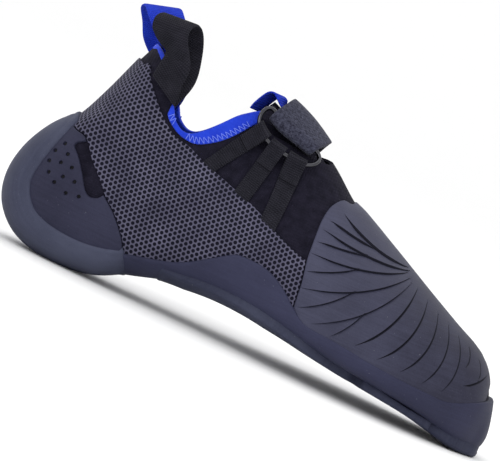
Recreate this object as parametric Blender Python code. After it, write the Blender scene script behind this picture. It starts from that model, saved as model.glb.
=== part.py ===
"""Climbing shoe for the right foot, standing empty on its sole.

Metres, +X to the toe, +Y to the medial side, +Z up. The origin is the
middle of the heel's flat spot on the floor. Every skin of the shoe is a
layer at its own distance from one surface, the outside of the upper on
its last, and is cut to its outline as seen from the side.
"""
import math

import bmesh
import bpy
import numpy as np
from mathutils import Vector

# Driving sizes
LENGTH = 0.242
INSTEP_HEIGHT = 0.110
BALL_WIDTH = 0.082
HEEL_SPOT = 0.136 * LENGTH
GAP = 0.0003

UPPER_WALL = 0.0016
RAND_THICKNESS = 0.0019
OUTSOLE_THICKNESS = 0.0033
HEEL_RUBBER_THICKNESS = 0.0024
CUP_THICKNESS = 0.0013
TOE_PATCH_THICKNESS = 0.0015
OVERLAY_THICKNESS = 0.0007
INSOLE_THICKNESS = 0.0020
TONGUE_THICKNESS = 0.0018
BINDING_THICKNESS = 0.0007
BINDING_LAP = 0.0009

STRAP_WIDTH = 0.0245
STRAP_THICKNESS = 0.0020
STRAP_RETURN = 0.0300
TAPE_WIDTH = 0.0080
TAPE_SPACE = 0.0008
TAPE_THICKNESS = 0.0008
TAPE_RETURN = 0.0110
RING_WIRE = 0.0019
RING_LENGTH = 0.0350
RING_WIDTH = 0.0098
RING_CORNER = 0.0036
RING_DROP = 0.0194
RING_BOW = 0.0055
STRAP_BOW = 0.0010
STRAP_CALM = 0.0120
TAPE_CALM = -0.0550
RING_ROW = 12.2
RING_SHIFT = -0.0029
STRAP_LEAN = -0.15
LOOP_WIDTH = 0.0165
LOOP_THICKNESS = 0.0012
TONGUE_LOOP_WIDTH = 0.0095
TONGUE_LOOP_THICKNESS = 0.0009
SOLE_LIP = 0.0090

# Sections of the last, toe to collar. Shares in hundredths: x of LENGTH,
# z of INSTEP_HEIGHT, y of BALL_WIDTH. widest is the height of the widest
# place between sole and crest, and the powers shape the two curves there.
# crest_x, crest_z, sole_x, sole_z, lateral, medial, crest_y, widest, top_power, sole_power
SECTIONS = [
    (98.6, 8.5, 98.6, 8.5, 17.1, 17.1, 17.1, 0.40, 2.2, 3.0),
    (97.9, 15.5, 97.7, 5.1, -1.2, 30.5, 17.1, 0.40, 2.2, 3.4),
    (96.7, 23.9, 95.5, 4.5, -12.2, 35.4, 17.1, 0.36, 2.2, 4.0),
    (94.7, 31.8, 92.6, 5.6, -23.2, 39.0, 15.9, 0.32, 2.2, 4.8),
    (91.1, 38.6, 88.4, 8.2, -32.9, 42.1, 14.6, 0.29, 2.2, 5.4),
    (85.5, 44.1, 83.1, 10.8, -43.3, 45.1, 12.2, 0.27, 2.1, 5.8),
    (78.9, 50.9, 76.9, 12.5, -49.8, 47.3, 9.8, 0.25, 2.1, 6.0),
    (72.3, 58.0, 70.2, 13.9, -51.8, 48.2, 7.3, 0.25, 2.0, 6.0),
    (65.7, 65.0, 63.2, 15.6, -51.2, 47.0, 6.1, 0.25, 2.0, 5.6),
    (59.5, 71.8, 56.2, 17.3, -47.6, 43.9, 4.9, 0.26, 2.0, 4.8),
    (54.1, 80.5, 49.2, 18.1, -43.3, 40.2, 3.7, 0.28, 1.9, 4.0),
    (49.6, 86.8, 42.1, 17.3, -39.6, 36.6, 2.4, 0.31, 1.9, 3.4),
    (45.9, 91.4, 34.7, 14.6, -37.8, 34.8, 1.2, 0.34, 1.9, 3.0),
    (43.0, 94.1, 27.3, 9.5, -36.6, 34.1, 0.0, 0.36, 1.9, 2.7),
    (40.5, 95.9, 19.8, 5.1, -36.0, 34.1, 0.0, 0.37, 2.0, 2.6),
    (38.8, 97.3, 13.2, 3.7, -36.0, 34.1, 0.0, 0.38, 2.0, 2.5),
    (37.8, 98.6, 7.0, 6.8, -36.0, 34.5, 0.0, 0.38, 2.0, 2.4),
    (37.2, 100.0, 3.1, 14.1, -36.0, 34.8, 0.0, 0.38, 2.0, 2.3),
    (36.8, 101.4, 1.7, 23.6, -36.0, 34.8, 0.0, 0.38, 2.0, 2.3),
    (36.6, 102.7, 2.3, 34.5, -35.6, 34.4, 0.0, 0.38, 2.0, 2.2),
    (36.4, 104.5, 4.6, 46.8, -34.8, 33.7, 0.0, 0.39, 2.0, 2.2),
    (36.2, 106.4, 7.9, 58.2, -33.5, 32.7, 0.0, 0.40, 2.0, 2.2),
    (36.0, 108.2, 10.5, 71.8, -32.3, 31.7, 0.0, 0.42, 2.0, 2.1),
    (35.7, 110.5, 13.0, 87.3, -31.1, 30.5, 0.0, 0.44, 2.0, 2.0),
    (35.7, 115.5, 15.1, 98.2, -29.9, 29.3, 0.0, 0.45, 2.0, 2.0),
]
LAST_ROW = len(SECTIONS) - 1

# Lines on the side of the shoe: x in hundredths of LENGTH, z of INSTEP_HEIGHT
RAND_LINE = [
    (-3.3, 70.9), (5.8, 60.0), (6.4, 54.5), (5.4, 45.5), (4.5, 36.4), (4.1, 27.3),
    (4.8, 21.8), (6.2, 17.3), (8.3, 14.1), (12.4, 11.8), (17.4, 11.4), (21.5, 12.7),
    (25.6, 15.5), (33.1, 20.0), (36.4, 23.6), (39.3, 28.2), (42.6, 33.6), (44.6, 35.5),
    (48.8, 35.5), (51.7, 33.6), (54.5, 30.0), (56.6, 26.4), (59.9, 22.3), (66.1, 21.4),
    (74.4, 19.5), (84.7, 18.2), (89.3, 18.2), (95.0, 22.7), (103.0, 28.0),
]
CUP_EDGE = [
    (-3.0, 63.5), (1.7, 57.5), (7.9, 52.7), (10.7, 50.9), (14.0, 42.3), (17.8, 34.1),
    (20.7, 29.1), (23.1, 23.6), (24.8, 18.2), (26.0, 10.0),
]
SLOT = [
    (9.2, 46.5), (9.6, 48.2), (11.0, 49.8), (11.6, 48.9), (12.8, 45.5), (15.3, 40.3), (17.8, 34.6),
    (17.6, 32.8), (17.0, 31.4), (15.7, 30.7), (14.5, 32.3), (12.8, 37.6), (11.1, 42.4),
]
QUARTER_TOP = [
    (-3.0, 105.0), (12.8, 87.7), (14.9, 88.2), (16.5, 82.7), (19.4, 76.0), (21.9, 70.8),
    (24.8, 66.7), (28.1, 65.2), (31.0, 62.7), (35.1, 60.0), (39.3, 57.3), (43.4, 54.5),
    (47.5, 50.5), (51.7, 46.8), (55.4, 44.8), (58.0, 43.5),
]
COLLAR = [
    (12.0, 84.0), (13.0, 89.5), (13.6, 93.6), (14.9, 96.4), (17.4, 93.6), (19.8, 85.5),
    (22.5, 76.8), (23.6, 72.7), (24.8, 70.5), (26.0, 69.5), (27.3, 70.0), (28.9, 72.7),
    (31.0, 77.7), (33.1, 83.2), (35.1, 86.8), (36.4, 89.1), (37.4, 93.0), (37.6, 140.0),
]
# The throat from above: x in hundredths of LENGTH, half width in hundredths of BALL_WIDTH
THROAT = [(32.0, 22.0), (36.0, 21.5), (40.0, 20.5), (44.0, 19.0), (47.5, 16.5), (50.2, 12.5), (51.8, 7.0)]
THROAT_END = 52.4
BINDING_LOW = [
    (20.6, 77.0), (21.7, 74.0), (22.7, 71.2), (24.8, 68.2), (26.9, 66.9), (28.9, 67.1),
    (31.0, 69.5), (33.1, 73.2), (35.1, 78.2), (37.2, 84.6),
]
TOE_REAR = [
    (61.5, 95.0), (60.3, 81.8), (59.5, 73.2), (57.4, 72.7), (56.2, 70.5), (55.4, 67.3),
    (55.0, 61.8), (55.1, 54.5), (55.4, 45.5), (56.2, 36.4), (56.6, 29.1), (57.4, 15.0),
]
SOLE_EDGE = [
    (26.0, 13.0), (29.8, 16.4), (34.7, 18.5), (41.3, 20.5), (49.6, 20.5), (57.9, 17.4),
    (66.1, 13.2), (76.4, 10.4), (82.6, 8.3), (88.8, 6.6), (94.2, 4.7), (97.5, 4.7),
    (103.3, 5.9),
]
HEEL_RUBBER_FRONT = [(25.0, 17.5), (26.8, 9.0), (27.8, 3.0)]
OUTSOLE_REAR = 32.6

# The outsole thins and narrows to its rear: x in hundredths of LENGTH, share of its
# thickness, share of the last's width
SOLE_TAPER = [
    (28.0, 0.36, 0.80), (42.0, 0.62, 0.86), (54.0, 1.0, 0.94), (64.0, 1.0, 0.98), (104.0, 1.0, 0.99),
]

# Mesh stations: along the last in rows of SECTIONS, and round it from crest to sole
ROWS = [
    0, 0.6, 1.2, 2, 3, 4, 5, 6, 7, 8, 9, 10, 11, 12, 13, 14, 15, 15.8, 16.6, 17.4, 18.3,
    19.3, 20.4, 21.6, 22.8, 24,
]
HALF_ROUND = [0, 0.13, 0.26, 0.39, 0.51, 0.6, 0.67, 0.73, 0.79, 0.86, 0.93, 1]

# A heel loop from its outer end over its top to its inner end: hundredths of LENGTH and
# INSTEP_HEIGHT, and depth, 0 outside the collar's wall and 1 inside it
LOOP_LATERAL = [
    (19.3, 80.5, 0.0), (18.8, 86.0, 0.0), (18.2, 92.0, 0.1), (17.1, 98.5, 0.4), (16.2, 104.0, 0.8),
    (16.1, 107.4, 1.6), (17.0, 108.6, 2.8), (18.5, 105.6, 4.0), (19.8, 98.0, 4.2), (20.4, 90.0, 3.4),
    (20.0, 82.5, 2.2), (19.4, 77.5, 1.4),
]
LOOP_MEDIAL = [
    (19.0, 80.5, 0.0), (18.0, 86.0, 0.0), (16.2, 92.0, -0.1), (14.0, 98.5, 0.1), (12.6, 104.5, 0.7),
    (11.8, 108.2, 1.8), (12.5, 109.8, 3.2), (15.1, 107.8, 4.8), (17.9, 102.7, 5.4), (19.6, 96.0, 4.6),
    (20.4, 89.5, 3.2), (20.0, 83.0, 2.2), (19.6, 77.5, 1.4),
]
LOOP_BASE_TILT = -38.0
LOOP_TOP_TILT = {-1: 5.0, 1: 17.0}
LOOP_TURN_SHARE = 0.6
LOOP_STAND = 0.0006
TONGUE_LOOP_TURN = 26.0
# The tongue's loop in the middle plane, from the tongue up and over to its inner end
TONGUE_LOOP = [
    (39.6, 95.6), (39.1, 97.2), (38.4, 98.0), (37.6, 97.3), (36.9, 95.0), (36.1, 91.2), (35.8, 88.6),
]

# name: (base colour, roughness, metallic)
FINISHES = {
    "rubber": ((0.045, 0.048, 0.058, 1), 0.65, 0.0),
    "sole_rubber": ((0.035, 0.037, 0.045, 1), 0.7, 0.0),
    "stretch_fabric": ((0.008, 0.008, 0.010, 1), 0.9, 0.0),
    "mesh_overlay": ((0.10, 0.105, 0.12, 1), 0.6, 0.0),
    "blue_fabric": ((0.02, 0.05, 0.50, 1), 0.8, 0.0),
    "webbing": ((0.012, 0.012, 0.015, 1), 0.85, 0.0),
    "strap_fabric": ((0.03, 0.032, 0.040, 1), 0.8, 0.0),
    "insole_board": ((0.02, 0.02, 0.025, 1), 0.85, 0.0),
    "dark_metal": ((0.10, 0.10, 0.11, 1), 0.3, 1.0),
}


def side(x, z):
    """A place seen from the side, from hundredths of LENGTH and INSTEP_HEIGHT, in metres."""
    return np.array((x / 100 * LENGTH - HEEL_SPOT, z / 100 * INSTEP_HEIGHT))


def catmull_rom(table, stations):
    """Smooth curve through the rows of a table, read at fractional row numbers."""
    table = np.asarray(table, dtype=float)
    stations = np.clip(np.atleast_1d(stations), 0, len(table) - 1)
    base = np.minimum(stations.astype(int), len(table) - 2)
    share = (stations - base)[:, None]
    ends = np.vstack((2 * table[0] - table[1], table, 2 * table[-1] - table[-2]))
    p0, p1, p2, p3 = (ends[base + k] for k in range(4))
    return 0.5 * (
        2 * p1 + (p2 - p0) * share
        + (2 * p0 - 5 * p1 + 4 * p2 - p3) * share ** 2
        + (3 * p1 - p0 - 3 * p2 + p3) * share ** 3
    )


def smooth_line(points, steps=3):
    """A side line in metres, rounded through its points."""
    places = np.array([side(*point) for point in points])
    stations = np.linspace(0, len(points) - 1, (len(points) - 1) * steps + 1)
    return catmull_rom(places, stations)


def section_halves(row):
    """Lateral and medial half of one section of the last, each from crest to sole."""
    values = catmull_rom(SECTIONS, row)[0]
    crest_x, crest_z, sole_x, sole_z, lateral, medial, crest_y, widest, top, low = values
    crest = side(crest_x, crest_z)
    sole = side(sole_x, sole_z)
    sole_y = (lateral + medial) / 2
    angle = np.linspace(0, math.pi / 2, 60)
    over = np.abs(np.cos(angle)) ** (2 / top)
    out = np.abs(np.sin(angle)) ** (2 / top)
    under = np.abs(np.sin(angle)) ** (2 / low)
    back = np.abs(np.cos(angle)) ** (2 / low)
    halves = []
    for edge in (lateral, medial):
        up = np.concatenate((widest + (1 - widest) * over, widest * (1 - under[1:])))
        across = np.concatenate((
            crest_y + (edge - crest_y) * out,
            sole_y + (edge - sole_y) * back[1:],
        ))
        places = sole + up[:, None] * (crest - sole)
        y = across / 100 * BALL_WIDTH
        halves.append(np.column_stack((places[:, 0], y, places[:, 1])))
    return halves


def last_points(rows, rounds):
    """Points of the last: round is 0 at the crest, -1 or 1 at the sole, minus for lateral."""
    points = np.zeros((len(rows), len(rounds), 3))
    for i, row in enumerate(rows):
        for half, sign in zip(section_halves(row), (-1, 1)):
            steps = np.linalg.norm(np.diff(half, axis=0), axis=1)
            run = np.concatenate(((0,), np.cumsum(steps)))
            run /= max(run[-1], 1e-9)
            for j, place in enumerate(rounds):
                if place * sign >= 0:
                    points[i, j] = [np.interp(abs(place), run, half[:, k]) for k in range(3)]
    return points


def last_normals(rows, rounds):
    """Outward normals of the last at the same stations as last_points."""
    rows = np.asarray(rows, dtype=float)
    rounds = np.asarray(rounds, dtype=float)
    step = 0.04
    ahead = last_points(np.minimum(rows + step, LAST_ROW), rounds)
    behind = last_points(np.maximum(rows - step, 0.02), rounds)
    left = last_points(np.maximum(rows, 0.08), wrapped(rounds - step))
    right = last_points(np.maximum(rows, 0.08), wrapped(rounds + step))
    normals = np.cross(right - left, ahead - behind)
    length = np.linalg.norm(normals, axis=2, keepdims=True)
    normals /= np.maximum(length, 1e-12)
    normals[rows == 0] = (1, 0, 0)
    return normals


def wrapped(rounds):
    """Rounds carried over the sole line, where -1 and 1 are the same place."""
    return (rounds + 1) % 2 - 1


class Skin:
    """The last's grid for whole layers: points, normals and what a layer's rows need."""

    rounds = np.array([-place for place in HALF_ROUND[::-1]] + HALF_ROUND[1:-1])
    points = last_points(ROWS, rounds)
    normals = last_normals(ROWS, rounds)

    @classmethod
    def at(cls, distance):
        """The grid moved outward by a distance, or by one distance for each point."""
        distance = np.broadcast_to(distance, cls.points.shape[:2])
        return cls.points + cls.normals * distance[:, :, None]


def add_object(name, bm, finish, collection):
    mesh = bpy.data.meshes.new(name)
    bmesh.ops.recalc_face_normals(bm, faces=bm.faces)
    bm.to_mesh(mesh)
    bm.free()
    thing = bpy.data.objects.new(name, mesh)
    collection.objects.link(thing)
    if finish:
        mesh.materials.append(material(finish))
    return thing


def material(name):
    """The Principled material of one finish, made once."""
    found = bpy.data.materials.get(name)
    if found:
        return found
    colour, roughness, metallic = FINISHES[name]
    made = bpy.data.materials.new(name)
    made.use_nodes = True
    shader = made.node_tree.nodes["Principled BSDF"]
    shader.inputs["Base Color"].default_value = colour
    shader.inputs["Roughness"].default_value = roughness
    shader.inputs["Metallic"].default_value = metallic
    made.diffuse_color = colour
    return made


def layer(name, inner, outer, finish, collection):
    """A closed skin between two distances from the last, from toe tip to collar."""
    bm = bmesh.new()
    shells = []
    for distance in (outer, inner):
        grid = Skin.at(distance)
        tip = bm.verts.new(grid[0].mean(axis=0))
        rings = [[bm.verts.new(point) for point in ring] for ring in grid[1:]]
        count = len(rings[0])
        for j in range(count):
            bm.faces.new((tip, rings[0][j], rings[0][(j + 1) % count]))
        for low, high in zip(rings, rings[1:]):
            for j in range(count):
                after = (j + 1) % count
                bm.faces.new((low[j], high[j], high[after]))
                bm.faces.new((low[j], high[after], low[after]))
        shells.append(rings[-1])
    for j in range(len(shells[0])):
        after = (j + 1) % len(shells[0])
        bm.faces.new((shells[0][j], shells[1][j], shells[1][after], shells[0][after]))
    return add_object(name, bm, finish, collection)


def patch(name, rows, rounds, inner, outer, finish, collection):
    """A closed piece of skin over a block of stations that doesn't go all the way round."""
    points = last_points(rows, rounds)
    normals = last_normals(rows, rounds)
    bm = bmesh.new()
    sheets = []
    for distance in (outer, inner):
        distance = np.broadcast_to(distance, points.shape[:2])
        grid = points + normals * distance[:, :, None]
        sheets.append([[bm.verts.new(point) for point in ring] for ring in grid])
    high, low = sheets
    last_i, last_j = len(rows) - 1, len(rounds) - 1
    for i in range(last_i):
        for j in range(last_j):
            for sheet in sheets:
                bm.faces.new((sheet[i][j], sheet[i + 1][j], sheet[i + 1][j + 1]))
                bm.faces.new((sheet[i][j], sheet[i + 1][j + 1], sheet[i][j + 1]))
    for i in range(last_i):
        for j in (0, last_j):
            bm.faces.new((high[i][j], high[i + 1][j], low[i + 1][j], low[i][j]))
    for j in range(last_j):
        for i in (0, last_i):
            bm.faces.new((high[i][j], high[i][j + 1], low[i][j + 1], low[i][j]))
    return add_object(name, bm, finish, collection)


def prism(name, outline, along, reach, collection):
    """A cutter: an outline swept along one axis. along is Y for side lines, Z for plan lines."""
    bm = bmesh.new()
    if along == "Y":
        corners = [bm.verts.new((x, reach[0], z)) for x, z in outline]
        sweep = Vector((0, reach[1] - reach[0], 0))
    else:
        corners = [bm.verts.new((x, y, reach[0])) for x, y in outline]
        sweep = Vector((0, 0, reach[1] - reach[0]))
    face = bm.faces.new(corners)
    swept = bmesh.ops.extrude_face_region(bm, geom=[face])["geom"]
    moved = [item for item in swept if isinstance(item, bmesh.types.BMVert)]
    bmesh.ops.translate(bm, verts=moved, vec=sweep)
    cutter = add_object(name, bm, None, collection)
    cutter.hide_render = True
    cutter.display_type = "WIRE"
    return cutter


def cut(thing, cutter, operation):
    change = thing.modifiers.new(cutter.name, "BOOLEAN")
    change.operation = operation
    change.solver = "EXACT"
    change.object = cutter


def shifted(line, distance):
    """A side line moved square to itself, to the left of its direction."""
    along = np.gradient(line, axis=0)
    along /= np.linalg.norm(along, axis=1, keepdims=True)
    return line + distance * np.column_stack((-along[:, 1], along[:, 0]))


def ribbon(name, path, widths, normals, width, thickness, finish, collection):
    """A flat strip along a path: widths run across it, normals stand on it."""
    bm = bmesh.new()
    rings = []
    for place, across, up in zip(path, widths, normals):
        across = across / np.linalg.norm(across) * width / 2
        up = up / np.linalg.norm(up) * thickness / 2
        corners = (place - across - up, place + across - up, place + across + up, place - across + up)
        rings.append([bm.verts.new(corner) for corner in corners])
    for low, high in zip(rings, rings[1:]):
        for k in range(4):
            after = (k + 1) % 4
            bm.faces.new((low[k], low[after], high[after], high[k]))
    bm.faces.new(rings[0])
    bm.faces.new(rings[-1])
    return add_object(name, bm, finish, collection)


def new_collection(name):
    made = bpy.data.collections.new(name)
    bpy.context.scene.collection.children.link(made)
    return made


FAR = 0.2
FULL = (-0.1, 0.1)


def box_line(line, *corners):
    """A closed outline: a line and the far corners that close it."""
    return np.vstack((line, np.array(corners)))


def below(line):
    """Everything under a side line that runs heel to toe."""
    return box_line(line, (FAR * 1.5, line[-1][1]), (FAR * 1.5, -FAR), (-FAR, -FAR), (-FAR, line[0][1]))


def crossings(line, other):
    """Where a side line meets another: (segment number, point) in the first line's order."""
    found = []
    for i in range(len(line) - 1):
        step = line[i + 1] - line[i]
        for k in range(len(other) - 1):
            reach = other[k + 1] - other[k]
            area = step[0] * reach[1] - step[1] * reach[0]
            if abs(area) < 1e-14:
                continue
            apart = other[k] - line[i]
            here = (apart[0] * reach[1] - apart[1] * reach[0]) / area
            there = (apart[0] * step[1] - apart[1] * step[0]) / area
            if 0 <= here < 1 and 0 <= there < 1:
                found.append((i, line[i] + here * step))
    return found


def part_of(line, start=None, end=None):
    """The stretch of a line between two of its crossings, or from or to its own end."""
    first = start[0] + 1 if start else 0
    last = end[0] + 1 if end else len(line)
    pieces = [line[first:last]]
    if start:
        pieces.insert(0, [start[1]])
    if end:
        pieces.append([end[1]])
    return np.vstack(pieces)


def plan_outline(rows, share, extra):
    """Outline of the last from above, at a share of its width or the outsole's, widened by extra."""
    sides = []
    for column in (4, 5):
        values = catmull_rom(SECTIONS, rows)
        middle = (values[:, 4] + values[:, 5]) / 2
        x = values[:, 2] + values[:, 7] * (values[:, 0] - values[:, 2])
        wide = share or np.interp(x, [at for at, _, _ in SOLE_TAPER], [part for _, _, part in SOLE_TAPER])
        y = (middle + wide * (values[:, column] - middle)) / 100 * BALL_WIDTH
        x = x / 100 * LENGTH - HEEL_SPOT
        sides.append(np.column_stack((x, y)))
    start = 1 if rows[0] == 0 else 0
    outline = np.vstack((sides[0], sides[1][::-1][:len(rows) - start]))
    along = np.roll(outline, -1, axis=0) - np.roll(outline, 1, axis=0)
    along /= np.linalg.norm(along, axis=1, keepdims=True)
    return outline + extra * np.column_stack((-along[:, 1], along[:, 0]))


def taper(points):
    """Share of the outsole's thickness at each grid point."""
    places = np.array([x / 100 * LENGTH - HEEL_SPOT for x, _, _ in SOLE_TAPER])
    return np.interp(points[:, :, 0], places, [share for _, share, _ in SOLE_TAPER])


def make_shells(parts, cutters):
    rand_line = smooth_line(RAND_LINE, 1)
    collar = smooth_line(COLLAR, 2)
    quarter_top = smooth_line(QUARTER_TOP, 1)
    toe_rear = smooth_line(TOE_REAR, 2)
    quarter_front = shifted(toe_rear, -GAP)
    cup_edge = smooth_line(CUP_EDGE, 2)
    sole_edge = smooth_line(SOLE_EDGE, 2)
    slot = smooth_line(SLOT + SLOT[:1], 1)[:-1]
    heel_front = smooth_line(HEEL_RUBBER_FRONT, 1)

    under_rand = prism("under_rand_line", below(shifted(rand_line, -GAP / 2)), "Y", FULL, cutters)

    upper = layer("upper", -UPPER_WALL, 0.0, "stretch_fabric", parts)
    opening = shifted(collar, -BINDING_LAP)
    throat = catmull_rom(THROAT, np.linspace(0, len(THROAT) - 1, 2 * len(THROAT) - 1)) / 100
    throat = throat * (LENGTH, BALL_WIDTH) - (HEEL_SPOT, 0)
    throat = np.vstack((throat * (1, -1), (side(THROAT_END, 0)[0], 0), throat[::-1]))
    cut(upper, prism("throat", throat, "Z", (0.6 * INSTEP_HEIGHT, FAR), cutters), "DIFFERENCE")
    mouth = prism("mouth", box_line(opening, (-FAR, FAR), (-FAR, opening[0][1])), "Y", FULL, cutters)
    cut(upper, mouth, "DIFFERENCE")
    hole = plan_outline(np.linspace(2.8, 14.2, 14), 1 - 2 * SOLE_LIP / BALL_WIDTH, 0)
    cut(upper, prism("sole_opening", hole, "Z", (-0.02, 0.26 * INSTEP_HEIGHT), cutters), "DIFFERENCE")

    rand = layer("rand", GAP, GAP + RAND_THICKNESS, "rubber", parts)
    cut(rand, under_rand, "INTERSECT")

    sole_inner = 2 * GAP + RAND_THICKNESS
    outsole = layer(
        "outsole", sole_inner, sole_inner + OUTSOLE_THICKNESS * taper(Skin.points),
        "sole_rubber", parts,
    )
    plan = plan_outline(np.linspace(0, 12.9, 34), None, GAP + RAND_THICKNESS)
    cut(outsole, prism("outsole_plan", plan, "Z", (0.0, 0.05), cutters), "INTERSECT")
    rear = side(OUTSOLE_REAR, 0)[0]
    kept = sole_edge[sole_edge[:, 0] > rear]
    low_side = box_line(kept, (kept[-1][0], 0.0), (rear, 0.0), (rear, kept[0][1]))
    cut(outsole, prism("outsole_side", low_side, "Y", FULL, cutters), "INTERSECT")

    heel = layer("heel_rubber", sole_inner, sole_inner + HEEL_RUBBER_THICKNESS, "sole_rubber", parts)
    front_x = heel_front[0][0]
    behind = rand_line[(rand_line[:, 0] < front_x)]
    heel_outline = box_line(
        behind, *heel_front, (heel_front[-1][0], 0.0), (-FAR, 0.0), (-FAR, behind[0][1]),
    )
    cut(heel, prism("heel_side", heel_outline, "Y", FULL, cutters), "INTERSECT")

    rand_over = shifted(rand_line, GAP / 2)
    slot_hole = prism("slot", slot, "Y", FULL, cutters)
    cup_in = shifted(cup_edge, -GAP / 2)
    top_cross, low_cross = crossings(cup_in, rand_over)[0], crossings(cup_in, rand_over)[-1]
    along_rand = [crossings(rand_over, cup_in)[0], crossings(rand_over, cup_in)[-1]]
    cup_outline = np.vstack((
        part_of(cup_in, top_cross, low_cross),
        part_of(rand_over, *along_rand)[::-1][1:-1],
    ))
    for label, reach in (("lateral", (-0.1, -0.002)), ("medial", (0.002, 0.1))):
        cup = layer("heel_cup_" + label, GAP, GAP + CUP_THICKNESS, "rubber", parts)
        cut(cup, prism("cup_area_" + label, cup_outline, "Y", reach, cutters), "INTERSECT")
        cut(cup, slot_hole, "DIFFERENCE")

    quarter = layer("quarter_overlay", GAP, GAP + OVERLAY_THICKNESS, "mesh_overlay", parts)
    cup_out = shifted(cup_edge, GAP / 2)
    out_cross = crossings(cup_out, rand_over)
    rand_cross = crossings(rand_over, cup_out)
    top_front = crossings(quarter_top, quarter_front)[0]
    front_top = crossings(quarter_front, quarter_top)[0]
    front_low = crossings(quarter_front, rand_over)[0]
    rand_front = crossings(rand_over, quarter_front)[0]
    quarter_outline = np.vstack((
        part_of(quarter_top, None, top_front),
        part_of(quarter_front, front_top, front_low)[1:],
        part_of(rand_over, rand_cross[-1], rand_front)[::-1][1:-1],
        part_of(cup_out, out_cross[0], out_cross[-1])[::-1],
        part_of(rand_over, None, rand_cross[0])[::-1][1:],
    ))
    cut(quarter, prism("quarter_area", quarter_outline, "Y", FULL, cutters), "INTERSECT")
    cut(quarter, slot_hole, "DIFFERENCE")

    toe = layer("toe_patch", GAP, GAP + TOE_PATCH_THICKNESS, "rubber", parts)
    toe_low = crossings(toe_rear, rand_over)[0]
    rand_toe = crossings(rand_over, toe_rear)[-1]
    toe_outline = box_line(
        np.vstack((part_of(toe_rear, None, toe_low), part_of(rand_over, rand_toe)[1:])),
        (FAR * 1.5, rand_over[-1][1]), (FAR * 1.5, FAR), (toe_rear[0][0], FAR),
    )
    cut(toe, prism("toe_area", toe_outline, "Y", FULL, cutters), "INTERSECT")


def make_insole(parts):
    """A board on the upper's turned-in edge. It has the upper's stations, so they stay parallel."""
    outer = -UPPER_WALL - GAP
    half = [place for place in HALF_ROUND if place >= 0.72]
    rounds = np.array(half + [-place for place in half[::-1]][1:])
    rows = [row for row in ROWS if 1.6 <= row <= 16.4]
    patch("insole", rows, rounds, outer - INSOLE_THICKNESS, outer, "insole_board", parts)


def make_tongue(parts):
    outer = -UPPER_WALL - 2 * GAP - BINDING_THICKNESS
    rows = [row for row in ROWS if 9 <= row <= 15]
    half = [place for place in HALF_ROUND if place <= 0.3]
    rounds = np.array([-place for place in half[::-1]] + half[1:])
    patch("tongue", rows, rounds, outer - TONGUE_THICKNESS, outer, "stretch_fabric", parts)


def surface_spot(row, place, height):
    """A point at a height over the last, and the surface's own directions there."""
    step = 0.02
    girth = sum(np.linalg.norm(np.diff(half, axis=0), axis=1).sum() for half in section_halves(row)) / 2
    turn = place / girth
    centre = last_points([row], [turn])[0, 0]
    toe = last_points([row - step], [turn])[0, 0] - last_points([row + step], [turn])[0, 0]
    round_way = last_points([row], [turn + step])[0, 0] - last_points([row], [turn - step])[0, 0]
    per_row = np.linalg.norm(toe) / (2 * step)
    normal = np.cross(toe, round_way)
    normal /= np.linalg.norm(normal)
    return centre + normal * height, normal, toe / np.linalg.norm(toe), per_row


def strip_spot(row, run, across, height):
    """A point on a strap: run is its way round from the crest, across its way to the toe."""
    moved = row
    for _ in range(4):
        moved -= across / 4 / surface_spot(moved, run, 0)[3]
    return surface_spot(moved, run, height)[0]


RING_HEIGHT = GAP + STRAP_THICKNESS + GAP + RING_WIRE / 2
UPPER_BAR = -RING_DROP + RING_WIDTH / 2 - RING_WIRE / 2
LOWER_BAR = -RING_DROP - RING_WIDTH / 2 + RING_WIRE / 2


def sag(run, across):
    """How far the ring's bars, and what lies along them, sag to the sole at a place across the strap."""
    share = max(0.0, 1 - (2 * (across - RING_SHIFT) / RING_LENGTH) ** 2)
    return share * np.interp(run, (TAPE_CALM, LOWER_BAR, UPPER_BAR, STRAP_CALM), (0, RING_BOW, STRAP_BOW, 0))


def strip(name, path, row, offset, width, lean, thickness, finish, collection, lanes=5, lean_from=RING_DROP):
    """A strap over the surface: path holds its runs from the crest and heights."""
    path = np.asarray(path)
    along = np.gradient(path, axis=0)
    along /= np.linalg.norm(along, axis=1, keepdims=True)
    square = np.column_stack((-along[:, 1], along[:, 0])) * thickness / 2
    loop = np.vstack((path + square, (path - square)[::-1]))
    count = len(path)
    bm = bmesh.new()
    lines = []
    for across in np.linspace(-width / 2, width / 2, lanes):
        ring = []
        for run, height in loop:
            aside = offset + across + lean * max(0.0, -run - lean_from)
            ring.append(bm.verts.new(strip_spot(row, run - sag(run, aside), aside, height)))
        lines.append(ring)
    for low, high in zip(lines, lines[1:]):
        for k in range(2 * count):
            after = (k + 1) % (2 * count)
            bm.faces.new((low[k], low[after], high[after], high[k]))
    for ring in (lines[0], lines[-1]):
        for k in range(count - 1):
            bm.faces.new((ring[k], ring[k + 1], ring[-k - 2], ring[-k - 1]))
    return add_object(name, bm, finish, collection)


def fold(centre_run, centre_height, radius, toward, steps=5):
    """Half a turn round a bar, from under it to over it, on the side that toward names."""
    spots = []
    for turn in np.linspace(-math.pi / 2, math.pi / 2, steps):
        run = centre_run + toward * radius * math.cos(turn)
        spots.append((run, centre_height + radius * math.sin(turn)))
    return spots


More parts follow.
